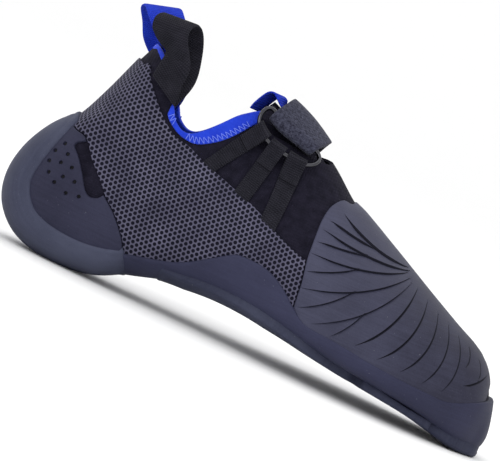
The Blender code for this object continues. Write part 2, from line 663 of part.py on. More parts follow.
def make_strap(parts, cutters, quarter_top):
    """The strap comes over from the medial side, folds round the ring and lies back on itself."""
    low = GAP + STRAP_THICKNESS / 2
    high = low + STRAP_THICKNESS + GAP
    radius = RING_WIRE / 2 + GAP + STRAP_THICKNESS / 2
    under = [(run, low) for run in np.linspace(0.066, UPPER_BAR + 0.004, 10)]
    over_start = UPPER_BAR + 0.004
    back = [(run, high) for run in np.linspace(over_start + 0.006, over_start + STRAP_RETURN - 0.006, 4)]
    path = under + fold(UPPER_BAR, RING_HEIGHT, radius, -1) + back
    strap = strip("strap", path, RING_ROW, 0.0, STRAP_WIDTH, STRAP_LEAN, STRAP_THICKNESS,
                  "strap_fabric", parts, lean_from=0.0)
    area = box_line(
        shifted(quarter_top, GAP), (FAR * 1.5, quarter_top[-1][1]), (FAR * 1.5, FAR),
        (-FAR, FAR), (-FAR, quarter_top[0][1]),
    )
    keep = prism("over_quarter", area, "Y", FULL, cutters)
    cut(strap, keep, "INTERSECT")
    return keep


def make_tapes(parts, keep):
    """Tapes hold the ring to the quarter: under it, round its lower bar and down again."""
    low = GAP + TAPE_THICKNESS / 2
    high = low + TAPE_THICKNESS + GAP
    radius = RING_WIRE / 2 + GAP + TAPE_THICKNESS / 2
    pitch = TAPE_WIDTH + TAPE_SPACE
    for number, label, lean in ((-1, "rear", -0.26), (0, "middle", 0.11), (1, "front", 0.33)):
        under = [(run, low) for run in np.linspace(-0.062, LOWER_BAR - 0.005, 6)]
        back = [(LOWER_BAR - 0.004, high + 0.0012), (LOWER_BAR - TAPE_RETURN, high)]
        path = under + fold(LOWER_BAR, RING_HEIGHT, radius, 1) + back
        tape = strip("tape_" + label, path, RING_ROW, RING_SHIFT + number * pitch, TAPE_WIDTH, lean,
                     TAPE_THICKNESS, "webbing", parts, lanes=3)
        cut(tape, keep, "INTERSECT")


def make_ring(parts):
    """An oval wire ring that lies over the surface, long way along the shoe."""
    flat_x = RING_LENGTH / 2 - RING_WIRE / 2 - RING_CORNER
    flat_y = RING_WIDTH / 2 - RING_WIRE / 2 - RING_CORNER
    spots = []
    for turn, middle in enumerate(((1, 1), (-1, 1), (-1, -1), (1, -1))):
        for angle in np.radians(np.linspace(0, 90, 5) + 90 * turn):
            out = RING_CORNER * math.cos(angle), RING_CORNER * math.sin(angle)
            spots.append((middle[0] * flat_x + out[0], middle[1] * flat_y + out[1]))
        if turn in (0, 2):
            edge = spots[-1][1]
            spots += [(middle[0] * flat_x * share, edge) for share in (0.6, 0.2, -0.2, -0.6)]
    curve = bpy.data.curves.new("ring", "CURVE")
    curve.dimensions = "3D"
    curve.bevel_depth = RING_WIRE / 2
    curve.bevel_resolution = 1
    spline = curve.splines.new("POLY")
    spline.points.add(len(spots) - 1)
    spline.use_cyclic_u = True
    for point, (across, run) in zip(spline.points, spots):
        across += RING_SHIFT
        run -= RING_DROP
        point.co = (*strip_spot(RING_ROW, run - sag(run, across), across, RING_HEIGHT), 1)
    thing = bpy.data.objects.new("ring", curve)
    curve.materials.append(material("dark_metal"))
    parts.objects.link(thing)


def wall_spot(x, z, sign):
    """Where the last's wall stands at a place seen from the side, and its normal."""
    rows = np.arange(13, 24.01, 0.25)
    rounds = np.linspace(0.1, 0.95, 35) * sign
    grid = last_points(rows, rounds)
    apart = np.hypot(grid[:, :, 0] - x, grid[:, :, 2] - z)
    i, j = np.unravel_index(apart.argmin(), apart.shape)
    row, turn = rows[i], rounds[j]
    for _ in range(4):
        here = last_points([row], [turn])[0, 0][[0, 2]]
        reach = min(row + 0.05, LAST_ROW) - row
        by_row = (last_points([row + reach], [turn])[0, 0][[0, 2]] - here) / reach
        by_turn = (last_points([row], [turn + 0.01])[0, 0][[0, 2]] - here) / 0.01
        change = np.linalg.lstsq(np.column_stack((by_row, by_turn)), np.array((x, z)) - here, rcond=None)[0]
        row = float(np.clip(row + change[0], 13, 23.9))
        turn = float(turn + change[1])
    return last_points([row], [turn])[0, 0], last_normals([row], [turn])[0, 0]


def make_pull_loops(parts):
    """Webbing loops that stand on the collar's wall beside the heel, one leg outside, one inside."""
    stand = LOOP_STAND + LOOP_THICKNESS / 2
    through = UPPER_WALL + 2 * LOOP_STAND + LOOP_THICKNESS
    for name, table, sign, finish in (
        ("pull_loop_lateral", LOOP_LATERAL, -1, "webbing"),
        ("pull_loop_medial", LOOP_MEDIAL, 1, "blue_fabric"),
    ):
        wall, normal = wall_spot(*side(*table[0][:2]), sign)
        places = []
        for x, z, depth in table:
            level = wall[1] if depth else sign * max(abs(wall[1]), abs(wall_spot(*side(x, z), sign)[0][1]))
            places.append((*side(x, z), level + sign * stand - sign * depth * through))
        places = np.array(places)[:, [0, 2, 1]]
        path = catmull_rom(places, np.linspace(0, len(places) - 1, 2 * len(places) - 1))
        rise = (path[:, 2] - path[0, 2]) / (path[:, 2].max() - path[0, 2])
        rise = np.clip(rise, 0, 1)[:, None]
        turned = np.clip(rise[:, 0] / LOOP_TURN_SHARE, 0, 1)
        tilt = np.radians(LOOP_BASE_TILT + (LOOP_TOP_TILT[sign] - LOOP_BASE_TILT) * turned)
        widths = np.column_stack((np.cos(tilt), np.zeros(len(path)), np.sin(tilt)))
        widths -= (1 - rise) * (widths @ normal)[:, None] * normal
        normals = np.cross(np.gradient(path, axis=0), widths)
        ribbon(name, path, widths, normals, LOOP_WIDTH, LOOP_THICKNESS, finish, parts)


def make_tongue_loop(parts):
    sewn = -UPPER_WALL - GAP - BINDING_THICKNESS + TONGUE_LOOP_THICKNESS / 2
    base = [surface_spot(row, 0, sewn)[0][[0, 2]] for row in (13.0, 13.5, 14.0)]
    places = np.vstack((base, [side(*point) for point in TONGUE_LOOP]))
    line = catmull_rom(places, np.linspace(0, len(places) - 1, 2 * len(places) - 1))
    path = np.column_stack((line[:, 0], np.zeros(len(line)), line[:, 1]))
    turn = math.radians(TONGUE_LOOP_TURN) * np.clip((np.arange(len(path)) - 3) / 5, 0, 1)
    widths = np.column_stack((np.sin(turn), np.cos(turn), np.zeros(len(path))))
    normals = np.cross(np.gradient(path, axis=0), widths)
    ribbon("tongue_loop", path, widths, normals, TONGUE_LOOP_WIDTH, TONGUE_LOOP_THICKNESS,
           "blue_fabric", parts)


def stretch(line, start, end):
    """The stretch of a side line between two x places, in hundredths of LENGTH."""
    ends = [np.array((side(x, -100), side(x, 300))) for x in (start, end)]
    return part_of(line, crossings(line, ends[0])[0], crossings(line, ends[1])[-1])


def make_binding(parts, cutters, collar):
    """A folded edging over the collar: a channel that the upper's edge stands in."""
    low = smooth_line(BINDING_LOW, 2)
    outline = np.vstack((stretch(collar, 23.0, 36.0), stretch(low, 23.0, 36.0)[::-1]))
    inside = layer("collar_edge", -UPPER_WALL - GAP, GAP, None, cutters)
    inside.hide_render = True
    inside.display_type = "WIRE"
    edge = shifted(collar, -BINDING_LAP + GAP)
    over = box_line(edge, (-FAR, FAR), (-FAR, edge[0][1]))
    cut(inside, prism("over_collar_edge", over, "Y", FULL, cutters), "DIFFERENCE")
    for label, reach in (("lateral", (-0.1, 0.0)), ("medial", (0.0, 0.1))):
        band = layer(
            "collar_binding_" + label, -UPPER_WALL - GAP - BINDING_THICKNESS,
            GAP + BINDING_THICKNESS, "blue_fabric", parts,
        )
        cut(band, prism("binding_" + label, outline, "Y", reach, cutters), "INTERSECT")
        cut(band, inside, "DIFFERENCE")


def main():
    for thing in list(bpy.data.objects):
        bpy.data.objects.remove(thing, do_unlink=True)
    parts = new_collection("climbing_shoe")
    cutters = new_collection("cutters")
    make_shells(parts, cutters)
    make_insole(parts)
    make_tongue(parts)
    make_binding(parts, cutters, smooth_line(COLLAR, 2))
    keep = make_strap(parts, cutters, smooth_line(QUARTER_TOP, 1))
    make_tapes(parts, keep)
    make_ring(parts)
    make_pull_loops(parts)
    make_tongue_loop(parts)


main()
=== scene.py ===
"""Climbing shoe for the right foot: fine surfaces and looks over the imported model.

Metres, +X to the toe, +Y to the medial side, +Z up. Every skin is a sheet of fine
triangles over the last, trimmed to its outline as seen from the side.
"""
import math

import bpy
import numpy as np
from mathutils import Matrix, Vector


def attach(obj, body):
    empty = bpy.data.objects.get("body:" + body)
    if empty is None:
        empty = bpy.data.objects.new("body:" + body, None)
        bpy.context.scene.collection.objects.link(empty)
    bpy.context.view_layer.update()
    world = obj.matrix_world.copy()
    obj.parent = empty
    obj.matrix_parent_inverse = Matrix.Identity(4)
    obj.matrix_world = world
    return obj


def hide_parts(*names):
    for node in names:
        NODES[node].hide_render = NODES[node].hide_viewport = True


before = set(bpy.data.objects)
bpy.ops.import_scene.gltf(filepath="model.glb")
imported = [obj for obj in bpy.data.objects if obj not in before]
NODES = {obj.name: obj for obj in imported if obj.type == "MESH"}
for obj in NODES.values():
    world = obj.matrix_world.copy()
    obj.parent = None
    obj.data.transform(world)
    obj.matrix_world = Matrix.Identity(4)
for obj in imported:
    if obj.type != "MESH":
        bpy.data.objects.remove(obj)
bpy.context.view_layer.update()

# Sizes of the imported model
LENGTH = 0.242
INSTEP_HEIGHT = 0.110
BALL_WIDTH = 0.082
HEEL_SPOT = 0.136 * LENGTH
GAP = 0.0003
UPPER_WALL = 0.0016
RAND_THICKNESS = 0.0019
OUTSOLE_THICKNESS = 0.0033
HEEL_RUBBER_THICKNESS = 0.0024
CUP_THICKNESS = 0.0013
TOE_PATCH_THICKNESS = 0.0015
OVERLAY_THICKNESS = 0.0007
BINDING_THICKNESS = 0.0007
BINDING_LAP = 0.0009
STRAP_WIDTH = 0.0245
STRAP_THICKNESS = 0.0020
STRAP_RETURN = 0.0300
TAPE_WIDTH = 0.0080
TAPE_SPACE = 0.0008
TAPE_THICKNESS = 0.0008
TAPE_RETURN = 0.0110
RING_WIRE = 0.0019
RING_LENGTH = 0.0350
RING_WIDTH = 0.0098
RING_CORNER = 0.0036
RING_DROP = 0.0194
RING_BOW = 0.0055
STRAP_BOW = 0.0010
STRAP_CALM = 0.0120
TAPE_CALM = -0.0550
RING_ROW = 12.2
RING_SHIFT = -0.0029
STRAP_LEAN = -0.15
LOOP_WIDTH = 0.0165
LOOP_THICKNESS = 0.0012
TONGUE_LOOP_WIDTH = 0.0095
TONGUE_LOOP_THICKNESS = 0.0009
SOLE_LIP = 0.0090

# Sections of the last, toe to collar, in hundredths of LENGTH, INSTEP_HEIGHT and BALL_WIDTH
# crest_x, crest_z, sole_x, sole_z, lateral, medial, crest_y, widest, top_power, sole_power
SECTIONS = [
    (98.6, 8.5, 98.6, 8.5, 17.1, 17.1, 17.1, 0.40, 2.2, 3.0),
    (97.9, 15.5, 97.7, 5.1, -1.2, 30.5, 17.1, 0.40, 2.2, 3.4),
    (96.7, 23.9, 95.5, 4.5, -12.2, 35.4, 17.1, 0.36, 2.2, 4.0),
    (94.7, 31.8, 92.6, 5.6, -23.2, 39.0, 15.9, 0.32, 2.2, 4.8),
    (91.1, 38.6, 88.4, 8.2, -32.9, 42.1, 14.6, 0.29, 2.2, 5.4),
    (85.5, 44.1, 83.1, 10.8, -43.3, 45.1, 12.2, 0.27, 2.1, 5.8),
    (78.9, 50.9, 76.9, 12.5, -49.8, 47.3, 9.8, 0.25, 2.1, 6.0),
    (72.3, 58.0, 70.2, 13.9, -51.8, 48.2, 7.3, 0.25, 2.0, 6.0),
    (65.7, 65.0, 63.2, 15.6, -51.2, 47.0, 6.1, 0.25, 2.0, 5.6),
    (59.5, 71.8, 56.2, 17.3, -47.6, 43.9, 4.9, 0.26, 2.0, 4.8),
    (54.1, 80.5, 49.2, 18.1, -43.3, 40.2, 3.7, 0.28, 1.9, 4.0),
    (49.6, 86.8, 42.1, 17.3, -39.6, 36.6, 2.4, 0.31, 1.9, 3.4),
    (45.9, 91.4, 34.7, 14.6, -37.8, 34.8, 1.2, 0.34, 1.9, 3.0),
    (43.0, 94.1, 27.3, 9.5, -36.6, 34.1, 0.0, 0.36, 1.9, 2.7),
    (40.5, 95.9, 19.8, 5.1, -36.0, 34.1, 0.0, 0.37, 2.0, 2.6),
    (38.8, 97.3, 13.2, 3.7, -36.0, 34.1, 0.0, 0.38, 2.0, 2.5),
    (37.8, 98.6, 7.0, 6.8, -36.0, 34.5, 0.0, 0.38, 2.0, 2.4),
    (37.2, 100.0, 3.1, 14.1, -36.0, 34.8, 0.0, 0.38, 2.0, 2.3),
    (36.8, 101.4, 1.7, 23.6, -36.0, 34.8, 0.0, 0.38, 2.0, 2.3),
    (36.6, 102.7, 2.3, 34.5, -35.6, 34.4, 0.0, 0.38, 2.0, 2.2),
    (36.4, 104.5, 4.6, 46.8, -34.8, 33.7, 0.0, 0.39, 2.0, 2.2),
    (36.2, 106.4, 7.9, 58.2, -33.5, 32.7, 0.0, 0.40, 2.0, 2.2),
    (36.0, 108.2, 10.5, 71.8, -32.3, 31.7, 0.0, 0.42, 2.0, 2.1),
    (35.7, 110.5, 13.0, 87.3, -31.1, 30.5, 0.0, 0.44, 2.0, 2.0),
    (35.7, 115.5, 15.1, 98.2, -29.9, 29.3, 0.0, 0.45, 2.0, 2.0),
]
LAST_ROW = len(SECTIONS) - 1

# Finer sizes of the skins: rounded edges, steps, clearances and stitches
RAND_EDGE = 0.0011
HEEL_EDGE = 0.0007
OUTSOLE_EDGE = 0.0014
SHEET_EDGE = 0.0006
NET_EDGE = 0.0004
TOE_EDGE = 0.0008
RAND_LAP = 0.0006
HEEL_LIP = 0.0022
HEEL_RISE = 0.0095
HEEL_TOP = 0.0700
HEEL_THINNING = 0.034
HEEL_CENTRE = (0.016, 0.028)
OUTSOLE_FEATHER = 0.012
PATCH_FEATHER = 0.008
RELIEF_CALM = 0.0012
TAB_HEIGHT = 0.00035
PIT_DEPTH = 0.0009
NET_PITCH = 0.00217
NET_TURN = 41.8
PATTERN_X = 0.045
TAB_STITCH = {"pitch": 0.0013, "height": 0.0016, "lean": False, "lift": 0.0002}
TAB_THREAD = 0.00016
COLLAR_STITCH = {"pitch": 0.0021, "height": 0.0030, "lean": True, "lift": 0.00022}
COLLAR_THREAD = 0.00021
FAR = 0.2

# Lines on the side of the shoe: x in hundredths of LENGTH, z of INSTEP_HEIGHT
RAND_LINE = [
    (-3.3, 70.9), (5.8, 60.0), (6.4, 54.5), (5.4, 45.5), (4.5, 36.4), (4.1, 27.3),
    (4.8, 21.8), (6.2, 17.3), (8.3, 14.1), (12.4, 11.8), (17.4, 11.4), (21.5, 12.7),
    (25.6, 15.5), (33.1, 20.0), (36.4, 23.6), (39.3, 28.2), (42.6, 33.6), (44.6, 35.5),
    (48.8, 35.5), (51.7, 33.6), (54.5, 30.0), (56.6, 26.4), (59.9, 22.3), (66.1, 21.4),
    (74.4, 19.5), (84.7, 18.2), (89.3, 18.2), (95.0, 22.7), (103.0, 28.0),
]
CUP_EDGE = [
    (-3.0, 63.5), (1.7, 57.5), (7.9, 52.7), (10.7, 50.9), (14.0, 42.3), (17.8, 34.1),
    (20.7, 29.1), (23.1, 23.6), (24.8, 18.2), (26.0, 10.0),
]
SLOT = [
    (9.2, 46.5), (9.6, 48.2), (11.0, 49.8), (11.6, 48.9), (12.8, 45.5), (15.3, 40.3), (17.8, 34.6),
    (17.6, 32.8), (17.0, 31.4), (15.7, 30.7), (14.5, 32.3), (12.8, 37.6), (11.1, 42.4),
]
CUP_PITS = [
    (7.7, 45.4), (6.6, 41.3), (9.0, 42.2), (6.4, 36.7), (8.5, 38.1), (10.7, 38.1),
    (7.2, 32.6), (9.9, 33.4), (12.2, 33.5), (8.9, 29.9), (11.6, 28.0), (14.0, 29.0),
]
PIT_RADIUS = 0.00100
QUARTER_TOP = [
    (-3.0, 105.0), (12.8, 87.7), (14.9, 88.2), (16.5, 82.7), (19.4, 76.0), (21.9, 70.8),
    (24.8, 66.7), (28.1, 65.2), (31.0, 62.7), (35.1, 60.0), (39.3, 57.3), (43.4, 54.5),
    (47.5, 50.5), (51.7, 46.8), (55.4, 44.8), (58.0, 43.5),
]
COLLAR = [
    (12.0, 84.0), (13.0, 89.5), (13.6, 93.6), (14.9, 96.4), (17.4, 93.6), (19.8, 85.5),
    (22.5, 76.8), (23.6, 72.7), (24.8, 70.5), (26.0, 69.5), (27.3, 70.0), (28.9, 72.7),
    (31.0, 77.7), (33.1, 83.2), (35.1, 86.8), (36.4, 89.1), (37.4, 93.0), (37.6, 140.0),
]
THROAT = [(32.0, 22.0), (36.0, 21.5), (40.0, 20.5), (44.0, 19.0), (47.5, 16.5), (50.2, 12.5), (51.8, 7.0)]
THROAT_END = 52.4
BINDING_REAR = 22.0
BINDING_END = ((36.6, 91.0), (37.7, 83.0))
BINDING_LOW = [
    (20.6, 77.0), (21.7, 74.0), (22.7, 71.2), (24.8, 68.2), (26.9, 66.9), (28.9, 67.1),
    (31.0, 69.5), (33.1, 73.2), (35.1, 78.2), (37.2, 84.6),
]
TOE_REAR = [
    (61.5, 95.0), (60.3, 81.8), (59.5, 73.2), (57.4, 72.7), (56.2, 70.5), (55.4, 67.3),
    (55.0, 61.8), (55.1, 54.5), (55.4, 45.5), (56.2, 36.4), (56.6, 29.1), (57.4, 15.0),
]
# Ridges of the toe patch: where each begins and ends, and its bow; a fan to the rear first
RELIEF_FAN = [
    (72.4, 58.2, 58.4, 66.8, 0.12), (73.0, 57.2, 56.2, 58.6, 0.08), (72.8, 56.4, 55.8, 48.6, 0.11),
    (73.6, 54.8, 56.4, 34.6, 0.14), (74.2, 53.0, 61.0, 23.8, 0.17),
    (65.4, 60.2, 56.6, 62.8, 0.04), (64.7, 56.5, 56.0, 53.6, 0.03), (64.4, 50.6, 56.4, 41.6, 0.09),
    (65.4, 42.2, 57.8, 27.4, 0.12), (68.6, 36.0, 65.0, 22.8, 0.10),
]
RELIEF_BOWS = [
    (75.7, 52.2, 69.6, 23.6, 0.18), (78.3, 49.6, 74.2, 22.4, 0.24), (81.0, 47.0, 78.8, 21.6, 0.27),
    (83.6, 44.8, 83.2, 20.8, 0.28), (86.2, 42.4, 87.2, 21.2, 0.26), (88.8, 40.2, 89.6, 33.0, 0.20),
    (91.4, 37.4, 92.6, 30.0, 0.20), (94.2, 33.0, 90.6, 26.4, 0.12),
]
RELIEF_DEPTH = 0.0009
RELIEF_EDGE = 0.0004
# How far past each ridge line the grooves' painted shade reaches, in shares of RELIEF_EDGE
FAN_SHADE_REACH = 0.55
BOWS_SHADE_REACH = 2.3
SOLE_EDGE = [
    (26.0, 13.0), (29.8, 16.4), (34.7, 18.5), (41.3, 20.5), (49.6, 20.5), (57.9, 17.4),
    (66.1, 13.2), (76.4, 10.4), (82.6, 8.3), (88.8, 6.6), (94.2, 4.7), (97.5, 4.7),
    (103.3, 5.9),
]
HEEL_RUBBER_FRONT = [(25.0, 17.5), (26.8, 9.0), (27.8, 3.0)]
OUTSOLE_REAR = 32.6
SOLE_TAPER = [
    (28.0, 0.36, 0.80), (42.0, 0.62, 0.86), (54.0, 1.0, 0.94), (64.0, 1.0, 0.98), (104.0, 1.0, 0.99),
]
# Blue piece sewn on the collar's lateral peak, and the seam along its inner edge
TAB = [
    (13.0, 92.2), (14.2, 93.4), (15.1, 94.1), (17.0, 90.7), (17.6, 90.0), (18.6, 92.6),
    (18.2, 98.0), (12.0, 100.0),
]
TAB_SEAM = [(13.4, 92.6), (14.2, 93.3), (15.1, 93.9), (16.1, 92.4), (17.0, 90.6), (17.5, 90.0)]
# Soft folds of the stretch fabric: where each begins and ends, its bow, and its width and depth in metres
CREASES = [
    (43.5, 88.0, 52.0, 71.0, 0.10, 0.0026, 0.00035), (46.5, 70.0, 54.5, 62.0, -0.12, 0.0022, 0.00030),
    (40.5, 66.0, 49.5, 56.5, 0.08, 0.0024, 0.00030), (25.5, 79.0, 20.5, 86.5, 0.10, 0.0020, 0.00025),
    (48.5, 81.0, 55.5, 74.0, -0.08, 0.0018, -0.00022),
]
# Paths of the pull loops' middle: x, z, depth in loop steps and turn in degrees
LOOP_LATERAL = [
    (19.6, 80.5, 0.0, -30), (19.7, 85.5, 0.0, -33), (19.6, 90.0, 0.1, -40), (19.0, 94.5, 0.3, -16),
    (17.6, 98.2, 0.5, -3), (16.3, 102.0, 0.7, 4), (16.0, 106.0, 1.2, 5), (16.9, 108.6, 2.4, 5),
    (18.3, 106.0, 3.7, 4), (19.7, 99.5, 4.2, -6), (20.9, 91.0, 3.5, -24), (20.2, 82.5, 2.2, -35),
    (19.4, 77.5, 1.4, -38),
]
LOOP_MEDIAL = [
    (19.0, 80.5, 0.0, -38), (18.0, 86.0, 0.0, -22), (16.2, 91.5, -0.1, -2), (14.4, 97.0, 0.1, 10),
    (13.0, 103.5, 0.7, 17), (11.8, 108.2, 1.8, 17), (12.4, 109.8, 3.2, 17), (13.8, 107.0, 4.6, 17),
    (15.6, 102.8, 5.2, 14), (17.6, 97.0, 4.9, 4), (19.4, 90.0, 3.4, -12), (20.0, 83.0, 2.2, -30),
    (19.6, 77.5, 1.4, -38),
]
LOOP_STAND = 0.0006
TONGUE_LOOP_TURN = 36.0
TONGUE_LOOP = [
    (39.6, 95.6), (39.1, 97.2), (38.4, 98.0), (37.6, 97.3), (36.9, 95.0), (36.1, 91.2), (35.8, 88.6),
]


def side(x, z):
    """A place seen from the side, from hundredths of LENGTH and INSTEP_HEIGHT, in metres."""
    return np.array((x / 100 * LENGTH - HEEL_SPOT, z / 100 * INSTEP_HEIGHT))


def catmull_rom(table, stations):
    """Smooth curve through the rows of a table, read at fractional row numbers."""
    table = np.asarray(table, dtype=float)
    stations = np.clip(np.atleast_1d(stations), 0, len(table) - 1)
    base = np.minimum(stations.astype(int), len(table) - 2)
    share = (stations - base)[:, None]
    ends = np.vstack((2 * table[0] - table[1], table, 2 * table[-1] - table[-2]))
    p0, p1, p2, p3 = (ends[base + k] for k in range(4))
    return 0.5 * (
        2 * p1 + (p2 - p0) * share
        + (2 * p0 - 5 * p1 + 4 * p2 - p3) * share ** 2
        + (3 * p1 - p0 - 3 * p2 + p3) * share ** 3
    )


def smooth_line(points, steps=6):
    """A side line in metres, rounded through its points."""
    places = np.array([side(*point) for point in points])
    stations = np.linspace(0, len(points) - 1, (len(points) - 1) * steps + 1)
    return catmull_rom(places, stations)


def run_lengths(path):
    """How far along a path each of its points lies."""
    return np.concatenate(((0,), np.cumsum(np.linalg.norm(np.diff(path, axis=0), axis=1))))


def directions(path):
    """Unit directions along a path."""
    along = np.gradient(path, axis=0)
    return along / np.linalg.norm(along, axis=1, keepdims=True)


def left_of(along):
    """Directions in a plane turned a quarter to the left."""
    return np.column_stack((-along[:, 1], along[:, 0]))


def placed(name, data):
    """A new object in the scene."""
    thing = bpy.data.objects.new(name, data)
    bpy.context.scene.collection.objects.link(thing)
    return thing


def bowed(begin_x, begin_z, end_x, end_z, bow, steps):
    """A side line from one place to another, bowed to its left by a share of its length."""
    begin, end = side(begin_x, begin_z), side(end_x, end_z)
    middle = (begin + end) / 2 + bow * np.array((-(end - begin)[1], (end - begin)[0]))
    return np.array([
        (1 - t) ** 2 * begin + 2 * t * (1 - t) * middle + t ** 2 * end for t in np.linspace(0, 1, steps)
    ])


def section_halves(rows):
    """Lateral and medial halves of the last's sections, each from crest to sole: (row, step, xyz)."""
    values = catmull_rom(SECTIONS, rows)
    crest_x, crest_z, sole_x, sole_z, lateral, medial, crest_y, widest, top, low = values.T[:, :, None]
    angle = np.linspace(0, math.pi / 2, 60)[None, :]
    over = np.abs(np.cos(angle)) ** (2 / top)
    out = np.abs(np.sin(angle)) ** (2 / top)
    under = np.abs(np.sin(angle)) ** (2 / low)
    back = np.abs(np.cos(angle)) ** (2 / low)
    halves = []
    for edge in (lateral, medial):
        up = np.hstack((widest + (1 - widest) * over, widest * (1 - under[:, 1:])))
        sole_y = (lateral + medial) / 2
        across = np.hstack((crest_y + (edge - crest_y) * out, sole_y + (edge - sole_y) * back[:, 1:]))
        x = (sole_x + up * (crest_x - sole_x)) / 100 * LENGTH - HEEL_SPOT
        z = (sole_z + up * (crest_z - sole_z)) / 100 * INSTEP_HEIGHT
        halves.append(np.stack((x, across / 100 * BALL_WIDTH, z), axis=2))
    return halves


def last_points(rows, rounds):
    """Grid of the last: round is 0 at the crest, -1 or 1 at the sole, minus for lateral."""
    rounds = np.asarray(rounds, dtype=float)
    points = np.zeros((len(rows), len(rounds), 3))
    for halves, chosen in zip(section_halves(rows), (rounds < 0, rounds >= 0)):
        places = np.abs(rounds[chosen])
        for i, half in enumerate(halves):
            run = run_lengths(half)
            run /= max(run[-1], 1e-9)
            for k in range(3):
                points[i, chosen, k] = np.interp(places, run, half[:, k])
    return points


def wrapped(rounds):
    """Rounds carried over the sole line, where -1 and 1 are the same place."""
    return (rounds + 1) % 2 - 1


def last_normals(rows, rounds):
    """Outward normals of the last at the same stations as last_points."""
    rows = np.asarray(rows, dtype=float)
    rounds = np.asarray(rounds, dtype=float)
    step = 0.04
    ahead = last_points(np.minimum(rows + step, LAST_ROW), rounds)
    behind = last_points(np.maximum(rows - step, 0.02), rounds)
    left = last_points(np.maximum(rows, 0.08), wrapped(rounds - step))
    right = last_points(np.maximum(rows, 0.08), wrapped(rounds + step))
    normals = np.cross(right - left, ahead - behind)
    normals /= np.maximum(np.linalg.norm(normals, axis=2, keepdims=True), 1e-12)
    normals[rows == 0] = (1, 0, 0)
    return normals


def inside(points, outline):
    """Signed distance of side-view points into a closed outline, minus outside."""
    near = np.full(len(points), 1e9)
    odd = np.zeros(len(points), dtype=bool)
    for start, end in zip(outline, np.roll(outline, -1, axis=0)):
        step = end - start
        length = step @ step
        if length < 1e-16:
            continue
        share = np.clip((points - start) @ step / length, 0, 1)
        near = np.minimum(near, np.linalg.norm(points - start - share[:, None] * step, axis=1))
        over = (start[1] > points[:, 1]) != (end[1] > points[:, 1])
        rise = end[1] - start[1] or 1e-12
        odd ^= over & (points[:, 0] < start[0] + (points[:, 1] - start[1]) / rise * step[0])
    return np.where(odd, near, -near)


def box_line(line, *corners):
    """A side line closed by way of far corners."""
    return np.vstack((line, np.array(corners)))


def below(line):
    """The outline of all that lies under a side line."""
    return box_line(line, (FAR * 1.5, line[-1][1]), (FAR * 1.5, -FAR), (-FAR, -FAR), (-FAR, line[0][1]))


def paint(thing, sheet, chosen, look):
    """The faces whose corners are all chosen take another material."""
    thing.data.materials.append(look)
    inner = chosen[sheet.faces].all(axis=1)
    for face in np.flatnonzero(inner):
        thing.data.polygons[int(face)].material_index = 1


class Sheet:
    """Fine triangles over the last. at, normal and the fields have one row for each point."""

    def __init__(self, rows, rounds):
        rows = np.asarray(rows)
        grid = last_points(rows, rounds)
        count = len(rounds)
        self.at = grid.reshape(-1, 3)
        self.normal = last_normals(rows, rounds).reshape(-1, 3)
        self.fields = {"round": np.tile(rounds, len(rows))}
        i, j = np.meshgrid(np.arange(len(rows) - 1), np.arange(count), indexing="ij")
        after = (j + 1) % count
        first = np.stack((i * count + j, (i + 1) * count + j, (i + 1) * count + after), axis=2)
        second = np.stack((i * count + j, (i + 1) * count + after, i * count + after), axis=2)
        closed = np.ptp(rounds) > 1.9
        keep = slice(None) if closed else slice(None, -1)
        lower = first[:, keep].reshape(-1, 3)
        upper = second[1 if rows[0] == 0 else 0:, keep].reshape(-1, 3)
        self.faces = np.vstack((lower, upper))

    def seen(self, height):
        """Side-view places at a height over the last."""
        return (self.at + self.normal * np.reshape(height, (-1, 1)))[:, [0, 2]]

    def split(self, name, level=0.0, drop=False):
        """Cuts the triangles along a field's level, and drops what lies below it if asked."""
        value = self.fields[name] - level
        value[np.abs(value) < 1e-8] = 1e-8
        above = value[self.faces] > 0
        count = above.sum(axis=1)
        mixed = (count == 1) | (count == 2)
        faces = self.faces[mixed]
        lone_above = count[mixed] == 1
        lone = np.where(lone_above[:, None], above[mixed], ~above[mixed]).argmax(axis=1)
        a, b, c = np.take_along_axis(faces, (lone[:, None] + np.arange(3)) % 3, axis=1).T
        pairs, back = np.unique(
            np.sort(np.vstack((np.column_stack((a, b)), np.column_stack((a, c)))), axis=1),
            axis=0, return_inverse=True,
        )
        back = back.reshape(-1)
        low, high = pairs.T
        share = value[low] / (value[low] - value[high])
        start = len(self.at)
        blend = share[:, None]
        self.at = np.vstack((self.at, self.at[low] + blend * (self.at[high] - self.at[low])))
        normal = self.normal[low] + blend * (self.normal[high] - self.normal[low])
        normal /= np.linalg.norm(normal, axis=1, keepdims=True)
        self.normal = np.vstack((self.normal, normal))
        for key, field in self.fields.items():
            self.fields[key] = np.concatenate((field, field[low] + share * (field[high] - field[low])))
        ab, ac = start + back[:len(a)], start + back[len(a):]
        tips = np.column_stack((a, ab, ac))
        rests = np.vstack((np.column_stack((ab, b, c)), np.column_stack((ab, c, ac))))
        kept = [self.faces[count == 3]]
        if not drop:
            kept += [self.faces[count == 0], tips, rests]
        else:
            kept += [tips[lone_above], rests[np.tile(~lone_above, 2)]]
        self.faces = np.vstack(kept)

    def tidy(self):
        """Drops the points that no triangle uses."""
        used, index = np.unique(self.faces, return_inverse=True)
        self.faces = index.reshape(-1, 3)
        self.at = self.at[used]
        self.normal = self.normal[used]
        self.fields = {key: field[used] for key, field in self.fields.items()}

    def rim(self):
        """Directed edges that only one triangle has."""
        faces = self.faces
        edges = np.vstack((faces[:, [0, 1]], faces[:, [1, 2]], faces[:, [2, 0]]))
        key = np.sort(edges, axis=1)
        _, index, count = np.unique(key, axis=0, return_index=True, return_counts=True)
        return edges[index[count == 1]]


def rounded(depth, thickness, radius):
    """Height of a sheet near its edge, whose outer corner is rounded."""
    near = np.clip(depth, 0, radius)
    return thickness - radius + np.sqrt(np.maximum(radius ** 2 - (radius - near) ** 2, 0))


def ridge(distance, centre, half_width):
    """A soft ridge, 1 at its centre and 0 beyond its half width."""
    return 0.5 + 0.5 * np.cos(np.pi * np.clip((distance - centre) / half_width, -1, 1))


